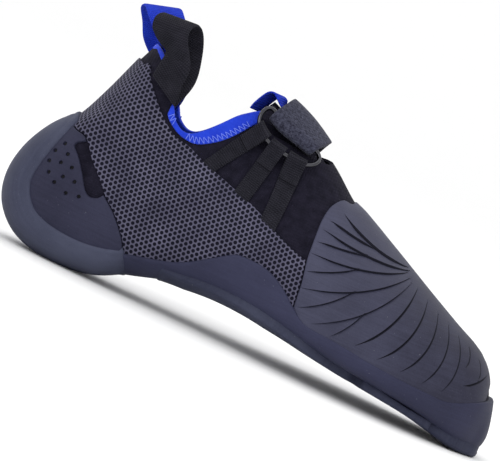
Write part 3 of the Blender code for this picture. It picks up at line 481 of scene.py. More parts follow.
def add_mesh(name, points, faces, look, uv=None, sharp=50):
    """An object of points and faces, with its look and the places of its pattern."""
    mesh = bpy.data.meshes.new(name)
    mesh.from_pydata([tuple(point) for point in points], [], [tuple(face) for face in faces])
    mesh.validate()
    if uv is not None:
        layer = mesh.uv_layers.new(name="UVMap")
        corners = np.zeros(len(mesh.loops), dtype=np.int32)
        mesh.loops.foreach_get("vertex_index", corners)
        layer.data.foreach_set("uv", np.asarray(uv)[corners].astype(np.float32).ravel())
    mesh.shade_smooth()
    mesh.set_sharp_from_angle(angle=math.radians(sharp))
    mesh.materials.append(look)
    return placed(name, mesh)


def dress(thing, slot, *nodes):
    """The piece rides on the root and stands for its nodes, which are hidden; the slot is not used."""
    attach(thing, "root")
    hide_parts(*nodes)


def skin(name, sheet, outer, inner, look, uv, under=False, floor=True):
    """A sheet's outer face, its rim down to the inner height, and its inner face if asked."""
    outside = sheet.at + sheet.normal * np.reshape(outer, (-1, 1))
    inside_points = sheet.at + sheet.normal * np.reshape(inner, (-1, 1))
    if floor:
        outside[:, 2] = np.maximum(outside[:, 2], 0.0)
    count = len(outside)
    faces = list(map(tuple, sheet.faces))
    rim = sheet.rim()
    if under:
        points = np.vstack((outside, inside_points))
        faces += [tuple(face) for face in (sheet.faces[:, ::-1] + count)]
        faces += [(b, a, a + count, b + count) for a, b in rim]
        uv = np.vstack((uv, uv))
    else:
        used, index = np.unique(rim, return_inverse=True)
        index = index.reshape(-1, 2) + count
        points = np.vstack((outside, inside_points[used]))
        faces += [(b, a, low, high) for (a, b), (low, high) in zip(rim, index)]
        uv = np.vstack((uv, uv[used]))
    return add_mesh(name, points, faces, look, uv)


class Unroll:
    """Distances round the heel and along the sides at each height, so patterns keep their scale."""

    def __init__(self):
        rows = np.linspace(2, LAST_ROW, 160)
        rounds = np.linspace(0.06, 0.97, 90)
        self.levels = np.linspace(0.002, 0.108, 54)
        self.tables = []
        for sign in (-1, 1):
            grid = last_points(rows, rounds * sign)
            tables = []
            for level in self.levels:
                crossing = []
                for line in grid:
                    order = np.argsort(line[:, 2])
                    if line[order[0], 2] < level < line[order[-1], 2]:
                        crossing.append([np.interp(level, line[order, 2], line[order, k]) for k in (0, 1)])
                crossing = np.array(sorted(crossing)) if len(crossing) > 2 else np.zeros((3, 2))
                start = np.array((crossing[0, 0] - abs(crossing[0, 1]) * 0.3, 0.0))
                crossing = np.vstack((start, crossing))
                run = run_lengths(crossing)
                tables.append((crossing[:, 0], run - np.interp(PATTERN_X, crossing[:, 0], run)))
            self.tables.append(tables)

    def __call__(self, points, degrees=0.0):
        """Places round the shoe and up it in metres, turned by an angle."""
        level = (points[:, 2] - self.levels[0]) / (self.levels[1] - self.levels[0])
        level = np.clip(level, 0, len(self.levels) - 1.001)
        base = level.astype(int)
        share = level - base
        run = np.zeros(len(points))
        for tables, chosen in ((self.tables[0], points[:, 1] < 0), (self.tables[1], points[:, 1] >= 0)):
            for k in range(len(self.levels)):
                for weight, mask in ((1 - share, chosen & (base == k)), (share, chosen & (base + 1 == k))):
                    x, table_run = tables[k]
                    run[mask] += weight[mask] * np.interp(points[mask, 0], x, table_run)
        sign = np.where(points[:, 1] < 0, 1, -1)
        across, up = run, points[:, 2]
        turn = math.radians(degrees)
        return np.column_stack((
            (across * math.cos(turn) + up * math.sin(turn)) * sign,
            up * math.cos(turn) - across * math.sin(turn),
        ))


class Look:
    """A node material built from the shader backwards, with short names for its nodes."""

    def __init__(self, name, colour, roughness=0.6, metallic=0.0, sheen=0.0, specular=0.5):
        self.material = bpy.data.materials.new(name)
        self.material.use_nodes = True
        self.tree = self.material.node_tree
        self.shader = self.tree.nodes["Principled BSDF"]
        self.shader.inputs["Base Color"].default_value = (*colour, 1)
        self.shader.inputs["Roughness"].default_value = roughness
        self.shader.inputs["Metallic"].default_value = metallic
        self.shader.inputs["Sheen Weight"].default_value = sheen
        self.shader.inputs["Specular IOR Level"].default_value = specular
        self.material.diffuse_color = (*colour, 1)

    def node(self, kind, inputs=None, **settings):
        made = self.tree.nodes.new("ShaderNode" + kind)
        for key, value in settings.items():
            setattr(made, key, value)
        for key, value in (inputs or {}).items():
            socket = made.inputs[key]
            if isinstance(value, bpy.types.NodeSocket):
                self.tree.links.new(value, socket)
            else:
                socket.default_value = value
        return made

    def math(self, operation, *values):
        return self.node("Math", dict(enumerate(values)), operation=operation).outputs[0]

    def noise(self, where, scale, detail=3.0, roughness=0.5, stretch=(1, 1, 1)):
        spot = self.node("Mapping", {"Vector": where, "Scale": stretch}).outputs[0]
        inputs = {"Vector": spot, "Scale": scale, "Detail": detail, "Roughness": roughness}
        return self.node("TexNoise", inputs).outputs["Fac"]

    def ramp(self, value, *stops):
        made = self.node("ValToRGB", {"Fac": value})
        ramp = made.color_ramp
        while len(ramp.elements) < len(stops):
            ramp.elements.new(0.5)
        for element, (place, colour) in zip(ramp.elements, stops):
            element.position = place
            element.color = (*colour, 1)
        return made.outputs["Color"]

    def mix(self, factor, a, b):
        made = self.node("Mix", data_type="RGBA")
        for socket, value in zip((made.inputs[0], made.inputs[6], made.inputs[7]), (factor, a, b)):
            if isinstance(value, bpy.types.NodeSocket):
                self.tree.links.new(value, socket)
            else:
                socket.default_value = (*value, 1)
        return made.outputs[2]

    def use(self, **sockets):
        names = {"colour": "Base Color", "roughness": "Roughness", "normal": "Normal"}
        for key, value in sockets.items():
            self.tree.links.new(value, self.shader.inputs[names[key]])

    def bump(self, height, distance):
        return self.node("Bump", {"Height": height, "Distance": distance, "Strength": 1.0}).outputs[0]

    def where(self):
        return self.node("TexCoord").outputs["Object"]

    def uv(self):
        return self.node("UVMap", uv_map="UVMap").outputs[0]


def rubber_look(name, tones, roughness, painted_shade_and_light):
    """Rubber with soft clouds, streaks along its band, fine grain and light specks.

    The last list gives places along the shoe and how light the rubber is there: painted shade darkens the
    arch's recess, painted light lifts the heel's underside, and it grows darker towards the toe.
    """
    dark, light = tones
    look = Look(name, dark, roughness, specular=0.14)
    where = look.where()
    cloud = look.noise(where, 34, 4, 0.62)
    streak = look.noise(look.uv(), 900, 4, 0.7, (0.035, 1.0, 1.0))
    grain = look.noise(where, 1500, 2, 0.6)
    speck = look.noise(where, 1000, 1, 0.4)
    along = look.node("SeparateXYZ", {0: where}).outputs[0]
    first, last = painted_shade_and_light[0][0], painted_shade_and_light[-1][0]
    place = look.node("MapRange", {0: along, 1: first, 2: last}).outputs[0]
    # Painted shade and light along the shoe, read from the list of places
    level = look.ramp(place, *[((x - first) / (last - first), (value, value, value)) for x, value in painted_shade_and_light])
    tone = look.math("MULTIPLY_ADD", streak, 0.42, look.math("MULTIPLY", cloud, 0.58))
    tone = look.math("ADD", tone, look.math("SUBTRACT", level, 0.5))
    tone = look.math("MULTIPLY_ADD", grain, 0.22, look.math("SUBTRACT", tone, 0.11))
    colour = look.ramp(tone, (0.22, dark), (0.78, light))
    dust = look.node("MapRange", {0: speck, 1: 0.76, 2: 0.81}).outputs[0]
    look.use(colour=look.mix(look.math("MULTIPLY", dust, 0.5), colour, (0.16, 0.16, 0.19)))
    look.use(roughness=look.math("MULTIPLY_ADD", streak, 0.22, roughness - 0.11))
    height = look.math("ADD", look.math("MULTIPLY", grain, 0.35), look.math("MULTIPLY", streak, 0.5))
    look.use(normal=look.bump(height, 0.00016))
    return look.material


def mesh_look():
    """A grey net film over black: round holes in a close-packed pattern."""
    colour = (0.058, 0.056, 0.092)
    look = Look("mesh_overlay", colour, 0.6, specular=0.12)
    parts = look.node("SeparateXYZ", {0: look.uv()})
    across = look.math("DIVIDE", parts.outputs[0], NET_PITCH)
    up = look.math("DIVIDE", parts.outputs[1], NET_PITCH * math.sqrt(3))
    gaps = []
    for shift in (0.0, 0.5):
        x = look.math("SUBTRACT", look.math("FRACT", look.math("ADD", across, shift)), 0.5)
        z = look.math("SUBTRACT", look.math("FRACT", look.math("ADD", up, shift)), 0.5)
        z = look.math("MULTIPLY", z, math.sqrt(3))
        squares = look.math("MULTIPLY", x, x), look.math("MULTIPLY", z, z)
        gaps.append(look.math("SQRT", look.math("ADD", *squares)))
    gap = look.math("MINIMUM", *gaps)
    solid = look.node("MapRange", {0: gap, 1: 0.31, 2: 0.39, 3: 0.0, 4: 1.0}).outputs[0]
    cloud = look.noise(look.where(), 90, 4, 0.6)
    film = look.ramp(cloud, (0.3, colour), (0.75, (0.108, 0.104, 0.160)))
    look.use(colour=look.mix(solid, (0.005, 0.005, 0.012), film))
    look.use(roughness=look.math("MULTIPLY_ADD", solid, -0.35, 0.9))
    look.use(normal=look.bump(solid, 0.0005))
    return look.material


def cloth_look(name, colour, light, scale=2600, roughness=0.85, sheen=0.06, mottle=120):
    """A fine knit or microfibre: two crossed sets of threads and a soft mottle."""
    look = Look(name, colour, roughness, sheen=sheen, specular=0.06)
    where = look.where()
    x, _, z = look.node("SeparateXYZ", {0: where}).outputs
    one = look.math("SINE", look.math("MULTIPLY", look.math("ADD", x, z), scale))
    two = look.math("SINE", look.math("MULTIPLY", look.math("SUBTRACT", z, x), scale))
    weave = look.math("MULTIPLY", one, two)
    cloud = look.noise(where, mottle, 4, 0.6)
    look.use(colour=look.ramp(cloud, (0.3, colour), (0.8, light)))
    height = look.math("MULTIPLY_ADD", cloud, 0.5, weave)
    look.use(normal=look.bump(height, 0.00008))
    return look.material


def webbing_look(name, colour, light, pitch=0.0011):
    """Woven tape: ribs across it, from its own length and width."""
    look = Look(name, colour, 0.75, sheen=0.02, specular=0.08)
    parts = look.node("SeparateXYZ", {0: look.uv()})
    along = look.math("MULTIPLY", parts.outputs[0], 2 * math.pi / pitch)
    across = look.math("MULTIPLY", parts.outputs[1], 2 * math.pi / (pitch * 0.9))
    wave = look.math("MULTIPLY", look.math("SINE", across), 1.2)
    ribs = look.math("SINE", look.math("ADD", along, wave))
    cloud = look.noise(look.where(), 200, 4, 0.6)
    tone = look.math("MULTIPLY_ADD", ribs, 0.18, look.math("MULTIPLY_ADD", cloud, 0.6, 0.2))
    look.use(colour=look.ramp(tone, (0.25, colour), (0.8, light)))
    look.use(normal=look.bump(ribs, 0.00018))
    return look.material


def metal_look():
    """Dark plated wire with faint scratches."""
    look = Look("dark_metal", (0.060, 0.060, 0.068), 0.2, metallic=1.0)
    scratch = look.noise(look.where(), 400, 4, 0.7)
    look.use(roughness=look.math("MULTIPLY_ADD", scratch, 0.16, 0.10))
    return look.material


# Each rubber's list of places paints shade and light along the shoe: darker in the arch's recess near x 0.035,
# lighter under the heel, darker towards the toe
RUBBER = rubber_look(
    "rubber", ((0.020, 0.021, 0.045), (0.040, 0.042, 0.084)), 0.60,
    (
        (-0.03, 0.50), (0.02, 0.42), (0.035, 0.24), (0.052, 0.38), (0.08, 0.56), (0.14, 0.50), (0.17, 0.38),
        (0.21, 0.26),
    ),
)
CUP_RUBBER = rubber_look(
    "cup_rubber", ((0.013, 0.013, 0.029), (0.034, 0.035, 0.066)), 0.62,
    ((-0.03, 0.45), (0.00, 0.50), (0.012, 0.62), (0.03, 0.50)),
)
TOE_RUBBER = rubber_look(
    "toe_rubber", ((0.021, 0.021, 0.039), (0.058, 0.060, 0.100)), 0.58,
    ((0.10, 0.66), (0.125, 0.50), (0.16, 0.38), (0.20, 0.18)),
)
SOLE_RUBBER = rubber_look(
    "sole_rubber", ((0.018, 0.020, 0.042), (0.060, 0.066, 0.106)), 0.64,
    (
        (-0.03, 0.48), (-0.01, 0.66), (0.018, 0.80), (0.028, 0.60), (0.035, 0.26), (0.055, 0.34), (0.09, 0.50),
        (0.16, 0.40), (0.21, 0.28),
    ),
)
MESH = mesh_look()
STRETCH = cloth_look(
    "stretch_fabric", (0.006, 0.0055, 0.011), (0.015, 0.0135, 0.025), sheen=0.015, mottle=260,
)
LINING = cloth_look("blue_fabric", (0.010, 0.030, 0.42), (0.020, 0.060, 0.62), scale=2000, sheen=0.1)
STRAP = cloth_look("strap_fabric", (0.011, 0.011, 0.021), (0.074, 0.077, 0.116), scale=3600, mottle=900)
INSOLE = cloth_look("insole_board", (0.016, 0.016, 0.020), (0.03, 0.03, 0.036), scale=1500)
WEBBING = webbing_look("webbing", (0.006, 0.006, 0.010), (0.024, 0.023, 0.033))
BLUE_WEBBING = webbing_look("blue_webbing", (0.008, 0.020, 0.36), (0.02, 0.06, 0.66))
METAL = metal_look()
THREAD = Look("blue_thread", (0.10, 0.16, 0.72), 0.5, sheen=0.1, specular=0.3).material
# Near-black painted shade for the toe patch's grooves
GROOVE_SHADE = Look("groove_shade", (0.009, 0.009, 0.016), 0.8, specular=0.15).material
# Near-black painted shade at the bottom of the heel cup's pits
PIT_SHADE = Look("pit", (0.004, 0.004, 0.006), 0.9).material

UNROLL = Unroll()


def plan_outline(rows, share, extra):
    """Outline of the last from above, at a share of its width or the outsole's, widened by extra."""
    sides = []
    for column in (4, 5):
        values = catmull_rom(SECTIONS, rows)
        middle = (values[:, 4] + values[:, 5]) / 2
        x = values[:, 2] + values[:, 7] * (values[:, 0] - values[:, 2])
        places, _, parts = zip(*SOLE_TAPER)
        wide = share or np.interp(x, places, parts)
        y = (middle + wide * (values[:, column] - middle)) / 100 * BALL_WIDTH
        x = x / 100 * LENGTH - HEEL_SPOT
        sides.append(np.column_stack((x, y)))
    start = 1 if rows[0] == 0 else 0
    outline = np.vstack((sides[0], sides[1][::-1][:len(rows) - start]))
    along = np.roll(outline, -1, axis=0) - np.roll(outline, 1, axis=0)
    along /= np.linalg.norm(along, axis=1, keepdims=True)
    return outline + extra * left_of(along)


def shifted(line, distance):
    """A side line moved square to itself, to the left of its direction."""
    return line + distance * left_of(directions(line))


def full_sheet(first=0.0, last=LAST_ROW, step=0.085, around=170):
    """A sheet right round the last between two rows of its table."""
    rows = np.linspace(first, last, int((last - first) / step) + 1)
    return Sheet(rows, np.linspace(-1, 1, around + 1)[:-1])


def trimmed(sheet, depth, radius):
    """The sheet cut to where depth is above 0, with extra rows where its edge is rounded."""
    sheet.fields["depth"] = depth
    sheet.split("depth", 0.0, drop=True)
    for share in (0.12, 0.4, 1.0):
        sheet.split("depth", radius * share)
    sheet.tidy()


def make_upper():
    """The stretch-fabric shell with its folds, and the blue piece on its rear peak."""
    collar = shifted(smooth_line(COLLAR), -BINDING_LAP)
    throat = catmull_rom(THROAT, np.linspace(0, len(THROAT) - 1, 30)) / 100
    throat = throat * (LENGTH, BALL_WIDTH) - (HEEL_SPOT, 0)
    throat = np.vstack((throat * (1, -1), (side(THROAT_END, 0)[0], 0), throat[::-1]))
    sheet = full_sheet()
    mid = -UPPER_WALL / 2
    depth = -inside(sheet.seen(mid), box_line(collar, (-FAR, FAR), (-FAR, collar[0][1])))
    high = sheet.at[:, 2] > 0.6 * INSTEP_HEIGHT
    plan = (sheet.at + sheet.normal * mid)[:, :2]
    depth = np.where(high, np.minimum(depth, -inside(plan, throat)), depth)
    hole = plan_outline(np.linspace(2.8, 14.2, 40), 1 - 2 * SOLE_LIP / BALL_WIDTH, 0)
    low = (sheet.at[:, 2] < 0.26 * INSTEP_HEIGHT) & (np.abs(sheet.fields["round"]) > 0.6)
    depth = np.where(low, np.minimum(depth, -inside(plan, hole)), depth)
    seen = sheet.seen(0.0)
    tab = inside(seen, np.array([side(*spot) for spot in TAB]))
    sheet.fields["tab"] = np.where(sheet.at[:, 1] < 0, tab, -1.0)
    sheet.fields["fold"] = np.zeros(len(seen))
    for *line, wide, deep in CREASES:
        away, past, along = beside(seen, bowed(*line, 9))
        calm = np.sin(np.pi * np.clip(along, 0.02, 0.98)) * np.clip(1 - past / 0.002, 0, 1)
        sheet.fields["fold"] -= deep * calm * np.exp(-(away / wide) ** 2) * (sheet.at[:, 1] < 0.004)
    trimmed(sheet, depth, SHEET_EDGE)
    sheet.split("tab", 0.0)
    sheet.tidy()
    outer = rounded(sheet.fields["depth"], 0.0, SHEET_EDGE) + sheet.fields["fold"]
    outer += TAB_HEIGHT * np.clip(sheet.fields["tab"] / 0.0004, 0, 1)
    uv = UNROLL(sheet.at)
    thing = skin("upper_shell", sheet, outer, -UPPER_WALL, STRETCH, uv, under=True, floor=False)
    paint(thing, sheet, sheet.fields["tab"] > -1e-6, LINING)
    dress(thing, "stretch_fabric", "upper")
    sew("tab_stitches", ladder(Face(sheet, outer), smooth_line(TAB_SEAM), **TAB_STITCH), TAB_THREAD)


# The lines that several skins share, seen from the side in metres
RAND_SIDE = smooth_line(RAND_LINE)
SOLE_SIDE = smooth_line(SOLE_EDGE)
CUP_SIDE = smooth_line(CUP_EDGE)
QUARTER_SIDE = smooth_line(QUARTER_TOP)
SLOT_SIDE = smooth_line(SLOT + SLOT[:1])[:-1]
TOE_SIDE = smooth_line(TOE_REAR)
OVER_RAND = below(shifted(RAND_SIDE, -RAND_LAP))


def rear_of(line):
    """The outline of all that lies behind the cup's edge line."""
    return np.vstack((line, (CUP_SIDE[-1][0], -FAR), (-FAR, -FAR)))


def ahead_of(line):
    """The outline of all that lies ahead of the toe patch's rear line."""
    return box_line(line, (FAR, -FAR), (FAR, FAR))


def make_rand():
    """The rubber band round the lower edge and under the foot."""
    top = GAP + RAND_THICKNESS
    sheet = full_sheet()
    trimmed(sheet, inside(sheet.seen(top), below(RAND_SIDE)), RAND_EDGE)
    outer = rounded(sheet.fields["depth"], top, RAND_EDGE)
    thing = skin("rand_band", sheet, outer, 0.0, RUBBER, UNROLL(sheet.at))
    dress(thing, "rubber", "rand")


def make_heel_block():
    """The heel's thick rubber: a lip along the rand's line, thinned upward and to its front."""
    heel_front = smooth_line(HEEL_RUBBER_FRONT)
    top = 2 * GAP + RAND_THICKNESS + HEEL_RUBBER_THICKNESS
    behind = RAND_SIDE[RAND_SIDE[:, 0] < heel_front[0][0]]
    outline = box_line(behind, *heel_front, (heel_front[-1][0], -FAR), (-FAR, -FAR), (-FAR, behind[0][1]))
    sheet = full_sheet(11.0)
    sheet.fields["band"] = inside(sheet.seen(top), below(RAND_SIDE))
    trimmed(sheet, inside(sheet.seen(top), outline), HEEL_EDGE)
    sheet.split("band", HEEL_LIP)
    low = GAP + CUP_THICKNESS + 0.0005
    rise = np.clip(sheet.fields["band"] / HEEL_RISE, 0, 1)
    ahead = side(26.0, 0)[0] - sheet.at[:, 0] - 0.0004
    thin = np.clip((HEEL_TOP - sheet.at[:, 2]) / HEEL_THINNING, 0, 1)
    thin *= 0.12 + 0.88 * np.clip(ahead / 0.014, 0, 1)
    height = low + (top - low) * (1 - (1 - rise) ** 2.2) * np.sin(thin * math.pi / 2)
    height -= 0.00025 * ridge(sheet.fields["band"], HEEL_LIP, 0.0006)
    outer = rounded(sheet.fields["depth"], height, HEEL_EDGE)
    turn = np.arctan2(sheet.at[:, 2] - HEEL_CENTRE[1], sheet.at[:, 0] - HEEL_CENTRE[0])
    streaks = np.column_stack((np.unwrap(turn) * 0.04, sheet.fields["band"]))
    thing = skin("heel_block", sheet, outer, 0.0, SOLE_RUBBER, streaks)
    dress(thing, "sole_rubber", "heel_rubber")


def make_outsole():
    """The forefoot sole, thinned to its rear end under the arch."""
    base = 2 * GAP + RAND_THICKNESS
    sheet = full_sheet(0.0, 13.5)
    places, parts, _ = np.array(SOLE_TAPER).T
    thick = OUTSOLE_THICKNESS * np.interp(sheet.at[:, 0], places / 100 * LENGTH - HEEL_SPOT, parts)
    rear = side(OUTSOLE_REAR, 0)[0]
    sheet.fields["thick"] = thick * np.clip((sheet.at[:, 0] - rear) / OUTSOLE_FEATHER, 0.10, 1) ** 0.7
    out = sheet.at + sheet.normal * (base + sheet.fields["thick"])[:, None]
    depth = np.minimum(inside(out[:, :2], flush_outline()), inside(out[:, [0, 2]], below(SOLE_SIDE)))
    trimmed(sheet, np.minimum(depth, out[:, 0] - rear), OUTSOLE_EDGE)
    outer = base + rounded(sheet.fields["depth"], sheet.fields["thick"], OUTSOLE_EDGE)
    dress(outsole_skin(sheet, outer), "sole_rubber", "outsole")


def make_cups():
    """The heel cup's two sides, each with its pits, painted dark as shade, and its part of the slot."""
    top = GAP + CUP_THICKNESS
    for label, sign in (("lateral", -1), ("medial", 1)):
        sheet = full_sheet(11.5, 22.0, 0.05, 320)
        seen = sheet.seen(top)
        pits = [np.linalg.norm(seen - side(*pit), axis=1) for pit in CUP_PITS]
        sheet.fields["pit"] = np.min(pits, axis=0)
        depth = np.minimum(inside(seen, rear_of(shifted(CUP_SIDE, -GAP / 2))), -inside(seen, OVER_RAND))
        depth = np.minimum(depth, -inside(seen, SLOT_SIDE))
        trimmed(sheet, np.minimum(depth, sign * sheet.at[:, 1] - 0.002), SHEET_EDGE)
        for radius in (PIT_RADIUS, PIT_RADIUS * 0.8):
            sheet.split("pit", radius)
        sheet.tidy()
        sunk = np.clip((PIT_RADIUS - sheet.fields["pit"]) / (PIT_RADIUS * 0.2), 0, 1)
        outer = rounded(sheet.fields["depth"], top, SHEET_EDGE) - PIT_DEPTH * sunk
        thing = skin("heel_cup_" + label + "_skin", sheet, outer, 0.0, CUP_RUBBER, UNROLL(sheet.at))
        # Painted shade: the faces deep in each pit take the near-black colour
        paint(thing, sheet, sheet.fields["pit"] < PIT_RADIUS * 0.85, PIT_SHADE)
        dress(thing, "rubber", "heel_cup_" + label)


def make_quarter():
    """The net overlay, all that the rand, the cup, the slot and the toe patch leave free."""
    top = GAP + OVERLAY_THICKNESS
    sheet = full_sheet(7.0, around=190)
    seen = sheet.seen(top)
    depth = inside(seen, below(QUARTER_SIDE))
    cup, toe = rear_of(shifted(CUP_SIDE, 0.0002)), ahead_of(shifted(TOE_SIDE, -0.0002))
    for outline in (OVER_RAND, cup, SLOT_SIDE, toe):
        depth = np.minimum(depth, -inside(seen, outline))
    trimmed(sheet, depth, NET_EDGE)
    outer = rounded(sheet.fields["depth"], top, NET_EDGE)
    thing = skin("quarter_net", sheet, outer, 0.0, MESH, UNROLL(sheet.at, NET_TURN))
    dress(thing, "mesh_overlay", "quarter_overlay")


def make_toe_patch():
    """The toe rubber, whose ridges each drop from a raised brow into a sunken line, painted dark as shade."""
    top = GAP + TOE_PATCH_THICKNESS
    sheet = full_sheet(0.0, 11.0, 0.055, 260)
    seen = sheet.seen(top)
    sheet.fields["rear"] = inside(seen, ahead_of(TOE_SIDE))
    depth = np.minimum(-inside(seen, OVER_RAND), sheet.fields["rear"])
    lines = relief_lines()
    for number, (line, _) in enumerate(lines):
        away, past, along = beside(seen, line)
        taper = np.clip(np.minimum(0.40 + 3.0 * along, 0.15 + 4.0 * (1 - along)), 0.15, 1)
        sheet.fields["away%d" % number] = away / taper
        sheet.fields["force%d" % number] = taper * np.clip(1 - past / RELIEF_CALM, 0, 1)
    trimmed(sheet, depth, TOE_EDGE)
    brow = 0.35 * RELIEF_EDGE
    for number, (_, reach) in enumerate(lines):
        for level in (-brow, brow, max(reach, 0.8 * RELIEF_EDGE)):
            sheet.split("away%d" % number, level)
    sheet.tidy()
    height = np.zeros(len(sheet.at))
    groove_shade_mask = np.zeros(len(sheet.at), dtype=bool)
    for number, (_, reach) in enumerate(lines):
        away, force = sheet.fields["away%d" % number], sheet.fields["force%d" % number]
        step = np.clip((away + brow) / (2 * brow), 0, 1)
        slope = 0.55 * np.exp(-np.maximum(away, 0) / 0.0045)
        notch = 0.45 * np.exp(-np.maximum(away - 0.0001, 0) / 0.0005)
        lift = 0.3 * np.exp(np.minimum(away, 0) / 0.0018)
        height += RELIEF_DEPTH * force * ((1 - step) * lift - step * (slope + notch))
        # Painted shade: faces from each ridge's wall out to its reach take the near-black colour
        groove_shade_mask |= (away > -0.4 * RELIEF_EDGE) & (away < reach + 0.00001) & (force > 0.08)
    height = np.clip(height, -0.9 * TOE_PATCH_THICKNESS, 0.0004)
    calm = np.clip(sheet.fields["depth"] / RELIEF_CALM, 0, 1)
    feather = 0.25 + 0.75 * np.sin(np.pi / 2 * np.clip(sheet.fields["rear"] / PATCH_FEATHER, 0, 1))
    outer = rounded(sheet.fields["depth"], GAP + TOE_PATCH_THICKNESS * feather, SHEET_EDGE)
    outer += height * calm
    thing = skin("toe_patch_skin", sheet, outer, 0.0, TOE_RUBBER, UNROLL(sheet.at))
    paint(thing, sheet, groove_shade_mask, GROOVE_SHADE)
    dress(thing, "rubber", "toe_patch")


def flush_outline():
    """The outsole's outline from above: near the rand's face along the foot, full at the toe."""
    rows = np.linspace(0.15, 12.9, 150)
    rounds = np.linspace(0.35, 0.995, 260)
    height = GAP + RAND_THICKNESS
    plan = plan_outline(rows, None, height)
    full = (plan[:len(rows)], plan[len(rows):][::-1])
    share = np.interp(rows, (1.0, 3.5, 9.0, 12.0), (1.0, 0.35, 0.3, 0.1))[:, None]
    sides = []
    for sign, wide in zip((-1, 1), full):
        face = last_points(rows, rounds * sign) + last_normals(rows, rounds * sign) * height
        under = face[:, :, 2] < np.interp(face[:, :, 0], *SOLE_SIDE.T)
        flush = face[np.arange(len(rows)), under.argmax(axis=1), :2]
        sides.append(flush + share * (wide - flush))
    return np.vstack((sides[0][::-1], sides[1]))


def relief_lines():
    """Side-view lines of the toe patch's stepped ridges, and how far each one's painted shade reaches."""
    lines = []
    for table, reach in ((RELIEF_FAN, FAN_SHADE_REACH), (RELIEF_BOWS, BOWS_SHADE_REACH)):
        lines += [(bowed(*entry, 17), reach * RELIEF_EDGE) for entry in table]
    return lines


def beside(points, line):
    """Signed distances from an open line, how far past its ends, and the share along it."""
    near = np.full(len(points), 1e9)
    sign = np.ones(len(points))
    along = np.zeros(len(points))
    for number, (start, end) in enumerate(zip(line, line[1:])):
        step = end - start
        share = np.clip((points - start) @ step / (step @ step), 0, 1)
        apart = points - start - share[:, None] * step
        gap = np.linalg.norm(apart, axis=1)
        closer = gap < near
        near = np.where(closer, gap, near)
        along = np.where(closer, (number + share) / (len(line) - 1), along)
        turned = step[0] * (points - start)[:, 1] - step[1] * (points - start)[:, 0]
        sign = np.where(closer, np.sign(turned), sign)
    past = np.zeros(len(points))
    for tip, before in ((line[0], line[1]), (line[-1], line[-2])):
        past = np.maximum(past, (points - tip) @ (tip - before) / np.linalg.norm(tip - before))
    return near * sign, past, along


def outsole_skin(sheet, outer):
    """The outsole's lower face and its upright edge, which ends inside the rand."""
    outside = sheet.at + sheet.normal * np.reshape(outer, (-1, 1))
    outside[:, 2] = np.maximum(outside[:, 2], 0.0)
    rim = sheet.rim()
    used, index = np.unique(rim, return_inverse=True)
    edge = outside[used]
    level = np.interp(edge[:, 0], *SOLE_SIDE.T)
    level += np.interp(edge[:, 0], (0.190, 0.203), (0.0, 0.0040))
    rise = np.clip(level + 0.0010 - edge[:, 2], 0.0006, 0.0125)
    inward = -sheet.normal[used] * (1, 1, 0)
    inward /= np.maximum(np.linalg.norm(inward, axis=1, keepdims=True), 0.2)
    rise = np.outer(rise, (0, 0, 1))
    upright = edge + rise - (0, 0, 0.0003)
    lip = edge + rise + inward * 0.0003
    buried = edge + rise + inward * 0.0050
    count, wide = len(outside), len(used)
    points = np.vstack((outside, upright, lip, buried))
    index = index.reshape(-1, 2)
    faces = list(map(tuple, sheet.faces))
    for a, b in index:
        faces.append((used[b], used[a], count + a, count + b))
        for ring in (0, 1):
            low, high = count + ring * wide, count + (ring + 1) * wide
            faces.append((low + b, low + a, high + a, high + b))
    return add_mesh("outsole_skin", points, faces, SOLE_RUBBER, points[:, :2])


class Instep:
    """Points of the last round the instep, read from a fine table, for straps laid over it."""

    rows = np.linspace(8.5, 16.5, 161)
    rounds = np.linspace(-1, 1, 401)
    table = last_points(rows, rounds)
    normals = last_normals(rows, rounds)
    speed = np.linalg.norm(np.gradient(table, rows, axis=0), axis=2)[:, :, None]
    girth = np.array([
        sum(np.linalg.norm(np.diff(half[0], axis=0), axis=1).sum() for half in section_halves([row])) / 2
        for row in rows
    ])

    @classmethod
    def read(cls, table, row, turn):
        """A table's value at rows and rounds, straight between its entries."""
        i = np.clip((row - cls.rows[0]) / (cls.rows[1] - cls.rows[0]), 0, len(cls.rows) - 1.001)
        j = np.clip((turn - cls.rounds[0]) / (cls.rounds[1] - cls.rounds[0]), 0, len(cls.rounds) - 1.001)
        low_i, low_j = i.astype(int), j.astype(int)
        i, j = (i - low_i)[:, None], (j - low_j)[:, None]
        first = table[low_i, low_j] * (1 - j) + table[low_i, low_j + 1] * j
        second = table[low_i + 1, low_j] * (1 - j) + table[low_i + 1, low_j + 1] * j
        return first * (1 - i) + second * i

    @classmethod
    def spots(cls, row, run, across, height):
        """Points on a strap: run is the way round from the crest, across the way to the toe."""
        run, across, height = (np.atleast_1d(np.asarray(value, float)) for value in (run, across, height))
        moved = np.full(len(run), float(row))
        for _ in range(4):
            turn = run / np.interp(moved, cls.rows, cls.girth)
            moved = moved - across / 4 / cls.read(cls.speed, moved, turn)[:, 0]
        turn = run / np.interp(moved, cls.rows, cls.girth)
        normal = cls.read(cls.normals, moved, turn)
        normal /= np.linalg.norm(normal, axis=1, keepdims=True)
        return cls.read(cls.table, moved, turn) + normal * height[:, None]


RING_HEIGHT = GAP + STRAP_THICKNESS + GAP + RING_WIRE / 2
UPPER_BAR = -RING_DROP + RING_WIDTH / 2 - RING_WIRE / 2
LOWER_BAR = -RING_DROP - RING_WIDTH / 2 + RING_WIRE / 2


def sag(run, across):
    """How far the ring's bars and what lies along them sag to the sole, at a place across the strap."""
    share = np.maximum(0.0, 1 - (2 * (across - RING_SHIFT) / RING_LENGTH) ** 2)
    return share * np.interp(run, (TAPE_CALM, LOWER_BAR, UPPER_BAR, STRAP_CALM), (0, RING_BOW, STRAP_BOW, 0))


def tube(rings, wide):
    """Faces between rings that each have the same number of points."""
    faces = []
    for low in range(0, (rings - 1) * wide, wide):
        for j in range(wide):
            after = (j + 1) % wide
            faces.append((low + j, low + after, low + wide + after, low + wide + j))
    return faces


